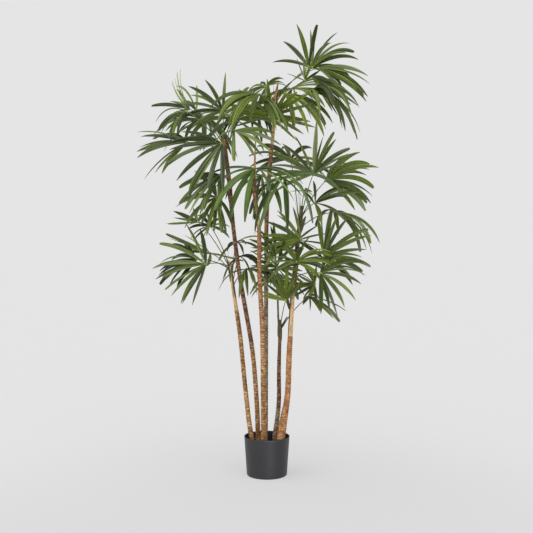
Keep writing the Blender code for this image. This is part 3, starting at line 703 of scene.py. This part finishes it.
def plainSides(points):
    # any steady direction across the line, from a fixed vector that doesn't run along it
    sides = []
    for i in range(len(points)):
        ahead = aheadOf(points, i)
        isSteep = abs(ahead.normalized().z) > 0.5
        sides.append(ahead.cross((0.37, 0.93, 0.05) if isSteep else (0.05, 0.08, 1.0)).normalized())
    return sides


def roundGuide(points, radius, shares, kind):
    tone = list(stalkLooks["kinds"]).index(kind)
    return sweepGuide(points, plainSides(points), [radius * share for share in shares], tone, 0.0)


def stalkGuides(name):
    row, path, hub = fronds[name], coarseCanes[name[0]], Vector(fronds[name].hub)
    points = stalkPath(path, row.footZ, hub, stalkTurns[name], stalkLooks["points"])
    last = len(points) - 1
    taper = [between(*stalkLooks["taper"], i / last) for i in range(last + 1)]
    guides = [roundGuide(points, stalkLooks["radius"], taper, "stalk")]
    hubShape = stalkLooks["hubShape"]
    ahead = fanFrame(row)[0] * stalkLooks["hubLength"]
    hubLine = [hub + ahead * (i / (len(hubShape) - 1) - stalkLooks["hubBehind"])
               for i in range(len(hubShape))]
    guides.append(roundGuide(hubLine, stalkLooks["hubRadius"], hubShape, "hub"))
    lowest = stalkLooks["baseFrom"].get(name[0], 0.0)
    if lowest < row.footZ <= path[-1][2]:
        place = onCane(path, row.footZ)[0]
        out = Vector((points[0].x - place.x, points[0].y - place.y, 0.0)).normalized()
        base, onCaneCount = [], stalkLooks["baseOnCane"]
        for i in range(onCaneCount):
            below = stalkLooks["baseLength"] * (1 - i / (onCaneCount - 1))
            middle, caneRadius = onCane(path, max(lowest, row.footZ - below))
            base.append(middle + out * (caneRadius + stalkLooks["baseGap"]))
        baseShape = stalkLooks["baseShape"]
        base += points[1:len(baseShape) - onCaneCount + 1]
        guides.append(roundGuide(base, stalkLooks["baseRadius"], baseShape, "base"))
    return guides


sweepRound, entry, exitNode, swept = roundTree("roundSweep", stalkLooks["sweep"])
endTree(sweepRound, exitNode, swept,
        [grainyMaterial(*values, stalkLooks["coating"]) for values in stalkLooks["kinds"].values()])
for cane in canes:
    guides = [guide for name in fronds if name[0] == cane for guide in stalkGuides(name)]
    sweepPiece("stalksOfCane" + cane.upper(), guides, sweepRound, stalkLooks["sweep"],
               stalkLooks["smoothAngle"])
print("stalks made")


# Canes: bark fibre wound in overlapping rings round a core, with bare wood and leaf sheaths
# near the crowns

caneLooks = {
    "ringStep": 0.0017,           # metres between rings of the mesh
    "pathSteps": 40,              # points in each span of the cane's middle line
    "zoneGap": 0.0001,
    "sweep": {"Sides": 28, "Wrap Depth": 0.0016, "Lump Size": 0.006, "Lump Depth": 0.0016, "Seed": 3.0},
    "smoothAngle": 50,
    "leastRadius": 0.0008,
    "fullRelief": 0.008,          # radius from which the relief has its full depth
    "wobble": 0.010,              # how far a ring strays up and down
    "wobbleSize": 0.035,
    "wrapPitch": {"a": 0.0135, "b": 0.0112, "c": 0.0105, "d": 0.012, "e": 0.0135, "f": 0.0092},
    # zone tops in metres and the zone's finish, from the foot up
    "zones": {
        "a": ((0.660, "light"), (0.900, "bare")),
        "b": ((0.515, "light"), (1.165, "dark"), (1.400, "sheath")),
        "c": ((0.720, "light"), (1.010, "orange"), (1.100, "bare"), (1.185, "sheath"), (1.400, "spear")),
        "d": ((0.900, "grey"), (1.340, "sheath"), (1.425, "bare"), (1.500, "sheath"), (1.700, "spear")),
        "e": ((0.268, "grey"), (0.474, "dark"), (0.583, "smooth"), (0.700, "green")),
        "f": ((0.565, "orange"), (0.770, "bare"), (0.900, "sheath"), (1.200, "olive")),
    },
    # each finish: relief, how far it stands off the core, colours from dark to pale, colour of a
    # ring's frayed edge, partly a painted highlight on the crest, and how much of it shows, how dark
    # the painted shadow in the groove is, fibre direction, roughness
    "finishes": {
        "light": (1.0, 0.0, ("#604026", "#a47548", "#d2a774"), "#e6cda6", 0.65, 0.42, "round", 0.85),
        "dark": (1.0, 0.0, ("#3d281d", "#77533b", "#a67c59"), "#d0b18b", 0.60, 0.35, "round", 0.85),
        "orange": (1.0, 0.0, ("#74482b", "#b67c4d", "#dcaa76"), "#e9cda0", 0.50, 0.38, "round", 0.85),
        "bare": (0.04, -0.0010, ("#bd925f", "#dcb682", "#ecd3a8"), "#ecd3a8", 0.0, 1.0, "long", 0.55),
        "sheath": (0.6, 0.0003, ("#523726", "#956c4c", "#caa075"), "#cfa87b", 0.25, 0.75, "long", 0.85),
        "spear": (0.1, 0.0, ("#96683f", "#c79766", "#e0bd90"), "#e0bd90", 0.0, 1.0, "long", 0.70),
        "grey": (0.9, 0.0, ("#4e3d2f", "#928068", "#c4aa8e"), "#d6c0a2", 0.45, 0.45, "round", 0.85),
        "smooth": (0.15, -0.0003, ("#4f2f18", "#77502f", "#966a43"), "#966a43", 0.0, 0.90, "long", 0.60),
        "green": (0.1, 0.0, ("#3a3a20", "#5f6038", "#858552"), "#858552", 0.0, 1.0, "long", 0.55),
        "olive": (0.4, 0.0003, ("#353019", "#645b35", "#8f8756"), "#a39a6a", 0.20, 0.85, "long", 0.65),
    },
    "specular": 0.25,
    # per metre: fibres of 2 mm, patches of 12 mm, stains of 30 mm
    "fibres": {"round": (70.0, 70.0, 560.0), "long": (420.0, 420.0, 28.0)},
    "patches": 80.0,
    "stains": 33.0,
    "fibreShare": 0.6,            # of the colour's pattern; the rest is patches
    "shades": (0.36, 0.5, 0.64),
    # upper part of a turn, paled as frayed fibre and as painted highlight on the crest
    "frayAndCrestHighlight": (0.60, 0.86),       # part of a turn over which its edge pales
    "torn": (0.46, 0.60),
    # painted shadow: the foot of each turn is darkened, as if shaded by the turn below it
    "paintedGrooveShadow": (0.0, 0.28),        # part of a turn that the turn below it shades
    "stained": (0.38, 0.62, 0.72, 1.16),
    "fibreRelief": 0.0010,
}


def ringPhase(tree, place, pitch):
    # where a point lies in its turn of the winding, from 0 at the lower edge to 1 at the upper one
    wobble = addNode(tree, "ShaderNodeTexNoise", {
        "Vector": place, "Scale": 1.0 / caneLooks["wobbleSize"], "Detail": 1.0})
    height = addNode(tree, "ShaderNodeSeparateXYZ", [place]).outputs["Z"]
    stray = addNode(tree, "ShaderNodeMath", (wobble, 0.5), operation="SUBTRACT")
    height = addNode(tree, "ShaderNodeMath", (stray, caneLooks["wobble"], height), operation="MULTIPLY_ADD")
    turns = addNode(tree, "ShaderNodeMath", (height, pitch), operation="DIVIDE")
    return addNode(tree, "ShaderNodeMath", [turns], operation="FRACT")


# Palm bark fibre, wound in turns and glued: dead matt, with pale torn edges, partly painted highlight on
# the crest of each turn, over gaps darkened by painted shadow. The wood and the sheaths near the crowns
# are smoother, so a soft light slides along them
def woundBark(name, relief, proud, hexes, frayAndHighlightHex, frayAndHighlightShare, grooveShadowDepth, direction, roughness):
    material, tree, shader = startMaterial(name, roughness, caneLooks["specular"])
    coords = addNode(tree, "ShaderNodeTexCoord").outputs["Object"]
    # fibres run round the cane in the winding, and up it in sheaths and wood
    place = addNode(tree, "ShaderNodeMapping", {"Vector": coords, "Scale": caneLooks["fibres"][direction]})
    fibres = addNode(tree, "ShaderNodeTexNoise", {
        "Vector": place, "Scale": 1.0, "Detail": 4.0, "Roughness": 0.65})
    patches = addNode(tree, "ShaderNodeTexNoise", {
        "Vector": coords, "Scale": caneLooks["patches"], "Detail": 3.0})
    fibreShare = caneLooks["fibreShare"]
    blend = addNode(tree, "ShaderNodeMath", (patches, 1 - fibreShare), operation="MULTIPLY")
    blend = addNode(tree, "ShaderNodeMath", (fibres, fibreShare, blend), operation="MULTIPLY_ADD")
    colour = addNode(tree, "ShaderNodeValToRGB", [blend], zip(caneLooks["shades"], hexes))
    pitch = addNode(tree, "ShaderNodeAttribute", attribute_name="pitch").outputs["Fac"]
    phase = ringPhase(tree, coords, pitch)
    # painted highlight mixed with frayed fibre: the crest of each turn is paled, torn into dots
    edge = addNode(tree, "ShaderNodeMapRange", (phase, *caneLooks["frayAndCrestHighlight"], 0.0, frayAndHighlightShare))
    torn = addNode(tree, "ShaderNodeMapRange", (patches, *caneLooks["torn"]))
    paled = addNode(tree, "ShaderNodeMath", (edge, torn), operation="MULTIPLY")
    colour = addNode(tree, "ShaderNodeMix", (paled, colour, linearColour(frayAndHighlightHex)), **asColour)
    # painted shadow in the groove at the foot of each turn
    paintedGrooveShadow = addNode(tree, "ShaderNodeMapRange", (phase, *caneLooks["paintedGrooveShadow"], grooveShadowDepth, 1.0))
    stain = addNode(tree, "ShaderNodeTexNoise", {
        "Vector": coords, "Scale": caneLooks["stains"], "Detail": 1.0})
    stain = addNode(tree, "ShaderNodeMapRange", (stain, *caneLooks["stained"]))
    for shade in (paintedGrooveShadow, stain):
        colour = addNode(tree, "ShaderNodeMix", (1.0, colour, shade), **multiplied)
    bump = addNode(tree, "ShaderNodeBump", {
        "Height": fibres, "Distance": caneLooks["fibreRelief"], "Strength": 0.8})
    setInputs(tree, shader, {"Base Color": colour, "Normal": bump})
    return material


def caneTree():
    tree, entry, exitNode, swept = roundTree("woundCane", caneLooks["sweep"])
    where = addNode(tree, "GeometryNodeInputPosition").outputs["Position"]
    pitch, relief = (addNode(tree, "GeometryNodeInputNamedAttribute", {"Name": key}, data_type="FLOAT")
                     for key in ("pitch", "relief"))
    step = addNode(tree, "ShaderNodeMath", (ringPhase(tree, where, pitch), 0.5), operation="SUBTRACT")
    density = addNode(tree, "ShaderNodeMath", (1.0, entry.outputs["Lump Size"]), operation="DIVIDE")
    lumps = addNode(tree, "ShaderNodeTexNoise", {
        "Vector": where, "W": entry.outputs["Seed"], "Scale": density, "Detail": 2.0},
        noise_dimensions="4D")
    lumps = addNode(tree, "ShaderNodeMath", (lumps, 0.5), operation="SUBTRACT")
    wrapDepth, lumpDepth = entry.outputs["Wrap Depth"], entry.outputs["Lump Depth"]
    lift = addNode(tree, "ShaderNodeMath", (lumps, lumpDepth), operation="MULTIPLY")
    lift = addNode(tree, "ShaderNodeMath", (step, wrapDepth, lift), operation="MULTIPLY_ADD")
    lift = addNode(tree, "ShaderNodeMath", (lift, relief), operation="MULTIPLY")
    offset = addNode(tree, "ShaderNodeVectorMath", {
        "Vector": addNode(tree, "GeometryNodeInputNormal"), "Scale": lift}, operation="SCALE")
    rough = addNode(tree, "GeometryNodeSetPosition", {"Geometry": swept, "Offset": offset})
    endTree(tree, exitNode, rough,
            [woundBark(kind + "Cane", *values) for kind, values in caneLooks["finishes"].items()])
    return tree


def caneGuide(cane):
    path = canePath(cane, caneLooks["pathSteps"])
    kinds = list(caneLooks["finishes"])
    points, radii, tones, reliefs = [], [], [], []
    low, tip = path[0][2], path[-1][2]
    for top, kind in caneLooks["zones"][cane]:
        high = min(top, tip)
        relief, proud = caneLooks["finishes"][kind][:2]
        rings = max(2, round((high - low) / caneLooks["ringStep"]))
        for i in range(rings + 1):
            # a zone's first ring lies a hair above the last ring of the zone below
            hair = caneLooks["zoneGap"] if i == 0 and points else 0.0
            place, radius = onCane(path, min(low + (high - low) * i / rings + hair, tip))
            share = min(1.0, radius / caneLooks["fullRelief"])
            points.append(place)
            radii.append(max(radius + proud * share, caneLooks["leastRadius"]))
            tones.append(kinds.index(kind))
            reliefs.append(relief * share)
        low = high
    extras = {"relief": reliefs, "pitch": [caneLooks["wrapPitch"][cane]] * len(points), "tone": tones}
    return sweepGuide(points, plainSides(points), radii, 0, 0.0), extras


sweepCane = caneTree()
for cane in canes:
    guide, extras = caneGuide(cane)
    sweepPiece("woundCane" + cane.upper(), [guide], sweepCane,
               {**caneLooks["sweep"], "Seed": float(ord(cane))}, caneLooks["smoothAngle"],
               ["cane_" + cane], extras)
print("canes made")


# Trim: spears, which are thin unopened leaves at the tips, the dark strap of sheath beside the bare
# wood, and a young fan

trimLooks = {
    "spears": (                   # foot, tip, foot radius, kind
        ((0.030, 0.092, 1.490), (0.027, 0.085, 1.580), 0.0032, "spear"),
        ((0.044, 0.100, 1.560), (0.050, 0.096, 1.630), 0.0016, "greenSpear"),
        ((0.134, -0.022, 1.020), (0.120, -0.050, 1.190), 0.0016, "greenSpear"),
        ((0.136, -0.018, 1.030), (0.128, -0.060, 1.170), 0.0018, "greenSpear"),
        ((0.130, -0.024, 1.010), (0.106, -0.070, 1.130), 0.0013, "spear"),
        ((-0.167, -0.096, 1.300), (-0.176, -0.100, 1.390), 0.0016, "greenSpear"),
        ((-0.154, 0.110, 0.820), (-0.162, 0.100, 0.920), 0.0016, "greenSpear"),
    ),
    "spearSteps": 7,
    "spearTaper": (1.0, 0.15),
    "strap": {"from": 0.560, "to": 0.800, "radius": 0.0042, "steps": 24, "side": (-1.0, -0.35, 0.0),
              "sink": 0.72, "narrowing": 0.35},
    # a young fan, still folded into threads, that stands up from the hub of an outer frond
    "young": {"frond": "b3", "heading": (150, 212), "rise": (34, 62), "length": (0.115, 0.165), "count": 7,
              "curve": 34, "radius": 0.0021, "steps": 12, "taper": (1.0, 0.35)},
}


def tapered(ends, steps):
    return [between(*ends, i / steps) for i in range(steps + 1)]


def spearGuide(foot, tip, radius, kind):
    foot, tip, steps = Vector(foot), Vector(tip), trimLooks["spearSteps"]
    points = [foot.lerp(tip, i / steps) for i in range(steps + 1)]
    return roundGuide(points, radius, tapered(trimLooks["spearTaper"], steps), kind)


def strapGuide():
    strap = trimLooks["strap"]
    steps = strap["steps"]
    side = Vector(strap["side"]).normalized()
    points, shares = [], []
    for i in range(steps + 1):
        place, radius = onCane(coarseCanes["f"], between(strap["from"], strap["to"], i / steps))
        points.append(place + side * radius * strap["sink"])
        shares.append(1 - strap["narrowing"] * abs(2 * i / steps - 1) ** 3)
    return roundGuide(points, strap["radius"], shares, "strap")


def youngGuides():
    young = trimLooks["young"]
    steps, count = young["steps"], young["count"]
    guides = []
    for i in range(count):
        mixed = (i * 3 % count) / (count - 1)
        heading = between(*young["heading"], i / (count - 1))
        rise = between(*young["rise"], mixed)
        length = between(*young["length"], mixed)
        points = [Vector(fronds[young["frond"]].hub)]
        for step in range(steps):
            ahead = pointing(heading, rise + young["curve"] * step / steps)
            points.append(points[-1] + ahead * length / steps)
        guides.append(roundGuide(points, young["radius"], tapered(young["taper"], steps), "greenSpear"))
    return guides


guides = [spearGuide(*row) for row in trimLooks["spears"]] + [strapGuide()] + youngGuides()
sweepPiece("spearsAndStraps", guides, sweepRound, stalkLooks["sweep"], stalkLooks["smoothAngle"])


# The cut side shoot of the thin cane

prongLooks = {"footZ": 0.588, "tip": (0.083, 0.044, 0.636), "radius": 0.0036, "taper": (1.0, 0.7), "steps": 8,
              "inCane": 0.5, "sweep": {"Sides": 12}}


def prongGuide():
    place, radius = onCane(coarseCanes["e"], prongLooks["footZ"])
    tip, steps = Vector(prongLooks["tip"]), prongLooks["steps"]
    start = place + (tip - place).normalized() * radius * prongLooks["inCane"]
    points = [start.lerp(tip, i / steps) for i in range(steps + 1)]
    return roundGuide(points, prongLooks["radius"], tapered(prongLooks["taper"], steps), "strap")


sweepPiece("cutSideShoot", [prongGuide()], sweepRound, prongLooks["sweep"], stalkLooks["smoothAngle"],
           ["cane_e_prong"])
print("trim made")


# Pot: a thin moulded pot, satin charcoal

potLooks = {
    "baseRadius": 0.081, "wall": 0.0028, "floor": 0.004, "footRound": 0.006, "lip": 0.0009, "steps": 128,
    "innerRound": 0.006,
    "wallRings": (0.05, 0.10),
    "belowLip": (0.004, 0.006),   # last ring of the inside and first of the outside, below the rim
    "smoothAngle": 50,
    "outsideHex": "#28282c", "roughness": 0.44, "specular": 0.5,
    "grain": 900.0, "grainRelief": 0.00008,          # per metre: a grain of 1 mm
    "smudges": 14.0, "smudgeTint": (0.9, 1.1), "smudgeRoughness": (0.38, 0.52),
}


# Polypropylene, injection-moulded in a grained steel mould: a soft satin shine that smudges from
# handling break up, and no sharp reflection
def potPlastic():
    looks = potLooks
    material, tree, shader = startMaterial("mouldedPolypropylene", looks["roughness"], looks["specular"])
    coords = addNode(tree, "ShaderNodeTexCoord").outputs["Object"]
    grain = addNode(tree, "ShaderNodeTexNoise", {"Vector": coords, "Scale": looks["grain"], "Detail": 2.0})
    smudge = addNode(tree, "ShaderNodeTexNoise", {"Vector": coords, "Scale": looks["smudges"], "Detail": 3.0})
    tint, worn = (addNode(tree, "ShaderNodeMapRange", (smudge, 0.0, 1.0, *looks[key]))
                  for key in ("smudgeTint", "smudgeRoughness"))
    colour = addNode(tree, "ShaderNodeMix", (1.0, linearColour(looks["outsideHex"]), tint), **multiplied)
    bump = addNode(tree, "ShaderNodeBump", {
        "Height": grain, "Distance": looks["grainRelief"], "Strength": 0.35})
    setInputs(tree, shader, {"Base Color": colour, "Roughness": worn, "Normal": bump})
    return material


def turnedMesh(profile, steps, material):
    mesh = bpy.data.meshes.new("turnProfile")
    mesh.from_pydata([(radius, 0.0, z) for radius, z in profile],
                     [(i, i + 1) for i in range(len(profile) - 1)], [])
    item = placeItem("turnProfile", mesh)
    screw = item.modifiers.new("Turn", "SCREW")
    screw.axis = "Z"
    screw.steps = screw.render_steps = steps
    screw.use_merge_vertices = True
    screw.merge_threshold = 0.00001
    turned = takeMesh(item)
    turned.materials.append(material)
    return turned


def arcPoints(centreR, centreZ, radius, fromAngle, toAngle, count):
    points = []
    for i in range(count + 1):
        angle = math.radians(between(fromAngle, toAngle, i / count))
        points.append((centreR + radius * math.cos(angle), centreZ + radius * math.sin(angle)))
    return points


def makePot():
    base, wall, floor, foot, lip, inner = (
        potLooks[key] for key in ("baseRadius", "wall", "floor", "footRound", "lip", "innerRound"))
    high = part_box("pot")[1]
    slope = (high.x - base) / high.z
    lastInside, firstOutside = (high.z - drop for drop in potLooks["belowLip"])
    profile = [(0.0, floor)]
    profile += arcPoints(base + slope * floor - wall - inner, floor + inner, inner, -90, 0, 5)
    profile += [(base + slope * z - wall, z) for z in (*potLooks["wallRings"], lastInside)]
    profile += arcPoints(high.x - wall + lip, high.z - lip, lip, 180, 90, 4)
    profile += arcPoints(high.x - lip, high.z - lip, lip, 90, 0, 4)
    profile += [(base + slope * z, z) for z in (firstOutside, *reversed(potLooks["wallRings"]))]
    profile += arcPoints(base + slope * foot - foot, foot, foot, 0, -90, 6)
    profile += [(0.0, 0.0)]
    mesh = turnedMesh(profile, potLooks["steps"], potPlastic())
    finishPiece("plantPot", mesh, potLooks["smoothAngle"], ["pot"])


makePot()


# Filling: dark cement, cast rough round the canes

fillLooks = {
    "rings": 26, "steps": 96, "smoothAngle": 60,
    "rough": 0.0016, "roughRange": (-1.0, 0.6), "seed": 5,
    "bottomRadius": 0.074, "sideStep": 0.004,
    "smoothEdge": 0.002,          # width of the edge that stays level, at the pot's wall
    "topDepth": 0.0005,           # points this close to the top are roughened
    # cement dyed black, cast and left as it set: no shine at all, with a grit of 3 mm and finer
    # (320 per metre)
    "cement": ("darkCastCement", ("#0b0a09", "#1d1a17", "#35302a"), 0.95,
               {"specular": 0.2, "scale": 320.0, "stretch": (1.0, 1.0, 1.0), "detail": 4.0,
                "shades": (0.3, 0.5, 0.75), "relief": 0.0012, "strength": 0.9}),
}


def makeFill():
    low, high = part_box("fill")
    radius, rings = high.x, fillLooks["rings"]
    profile = [(radius * i / rings, high.z) for i in range(rings + 1)]
    profile += [(radius - fillLooks["sideStep"], (low.z + high.z) / 2), (fillLooks["bottomRadius"], low.z),
                (0.0, low.z)]
    mesh = turnedMesh(profile, fillLooks["steps"], grainyMaterial(*fillLooks["cement"]))
    chance = random.Random(fillLooks["seed"])
    for vertex in mesh.vertices:
        away = math.hypot(vertex.co.x, vertex.co.y)
        onTop = vertex.co.z > high.z - fillLooks["topDepth"]
        if onTop and away < radius - fillLooks["smoothEdge"]:
            vertex.co.z += chance.uniform(*fillLooks["roughRange"]) * fillLooks["rough"]
    finishPiece("castFill", mesh, fillLooks["smoothAngle"], ["fill"])


makeFill()
print("pot and filling made")


# Studio: pale floor, soft light, and the camera of the photograph

studioLooks = {
    "backgroundHex": "#e5e5e5",
    "ambient": 0.50,              # share of the background's light that falls on the plant
    # floor grey near and far: darker round floorShadeMiddle, as painted shade
    "floorHex": ("#dddddd", "#e5e5e5"),
    "floorRadius": 30.0,
    "floorShadeMiddle": (0.0, -1.2, 0.0),
    "floorShadeReach": (0.6, 2.2),
    "floorGlow": 0.6,             # share of the floor's light that no shadow takes away
    # kind, strength, place, the point it faces, and settings: a large soft box overhead, as a sun
    # 115 degrees wide, and a strip box that only gives gloss, such as the streak on the pot
    "lights": {
        "overheadSoftBox": ("SUN", 2.50, (-0.30, -0.60, 0.75), (0.0, 0.0, 0.0), {"angle": math.radians(115)}),
        "frontStripBox": ("AREA", 48.0, (1.00, -2.60, 0.70), (0.0, 0.0, 0.3),
                          {"shape": "RECTANGLE", "size": 0.30, "size_y": 1.30}),
    },
    "glossOnly": "frontStripBox",
    "cameraPlace": (-0.0016, -3.5, 0.96),
    "cameraTiltDown": 1.92,       # degrees
    "focalPixels": 872.0,         # for an image of 533 by 533 pixels
    "imagePixels": 533.0,
    "sensorWidth": 36.0,          # millimetres
}


# Matt paint, rolled on: no gloss and no mirror image, only a slow change of grey, darker round a point in
# front of the plant as painted shade
def floorPaint():
    material, tree, shader = startMaterial("mattFloorPaint", 0.9, 0.0)
    coords = addNode(tree, "ShaderNodeTexCoord").outputs["Object"]
    middle = studioLooks["floorShadeMiddle"]
    away = addNode(tree, "ShaderNodeVectorMath", (coords, middle), operation="DISTANCE")
    share = addNode(tree, "ShaderNodeMapRange", (away, *studioLooks["floorShadeReach"]),
                    interpolation_type="SMOOTHSTEP")
    near, far = (linearColour(hexText) for hexText in studioLooks["floorHex"])
    colour = addNode(tree, "ShaderNodeMix", (share, near, far), **asColour)
    # painted glow: part of the floor's colour is given off as light, so the shadows on it are faint
    glow = studioLooks["floorGlow"]
    lit = addNode(tree, "ShaderNodeMix", (glow, colour, (0.0, 0.0, 0.0, 1.0)), **asColour)
    setInputs(tree, shader, {"Base Color": lit, "Emission Color": colour, "Emission Strength": glow})
    return material


def makeWorld():
    world = bpy.data.worlds.new("studioWorld")
    bpy.context.scene.world = world
    world.use_nodes = True
    tree = world.node_tree
    # the paper backdrop is seen in full, and lights the plant less, as it is far behind it
    seen = addNode(tree, "ShaderNodeLightPath").outputs["Is Camera Ray"]
    strength = addNode(tree, "ShaderNodeMapRange", (seen, 0.0, 1.0, studioLooks["ambient"], 1.0))
    colour = linearColour(studioLooks["backgroundHex"])
    setInputs(tree, tree.nodes["Background"], {"Color": colour, "Strength": strength})


def makeLights():
    for name, (kind, energy, place, aim, settings) in studioLooks["lights"].items():
        light = bpy.data.lights.new(name, kind)
        light.energy = energy
        for key, value in settings.items():
            setattr(light, key, value)
        item = placeItem(name, light)
        item.location = place
        item.rotation_euler = (Vector(place) - Vector(aim)).to_track_quat("Z", "Y").to_euler()
        item.visible_diffuse = name != studioLooks["glossOnly"]


def makeStudio():
    work = bmesh.new()
    bmesh.ops.create_circle(work, cap_ends=True, segments=96, radius=studioLooks["floorRadius"])
    mesh = bpy.data.meshes.new("studioFloor")
    work.to_mesh(mesh)
    work.free()
    mesh.materials.append(floorPaint())
    placeItem("studioFloor", mesh)
    makeWorld()
    makeLights()
    camera = bpy.data.cameras.new("photoCamera")
    camera.sensor_width = studioLooks["sensorWidth"]
    camera.lens = camera.sensor_width * studioLooks["focalPixels"] / studioLooks["imagePixels"]
    item = placeItem("photoCamera", camera)
    item.location = studioLooks["cameraPlace"]
    item.rotation_euler = (math.radians(90 - studioLooks["cameraTiltDown"]), 0.0, 0.0)
    bpy.context.scene.camera = item
    bpy.context.scene.view_settings.view_transform = "Standard"


makeStudio()
print("studio made")
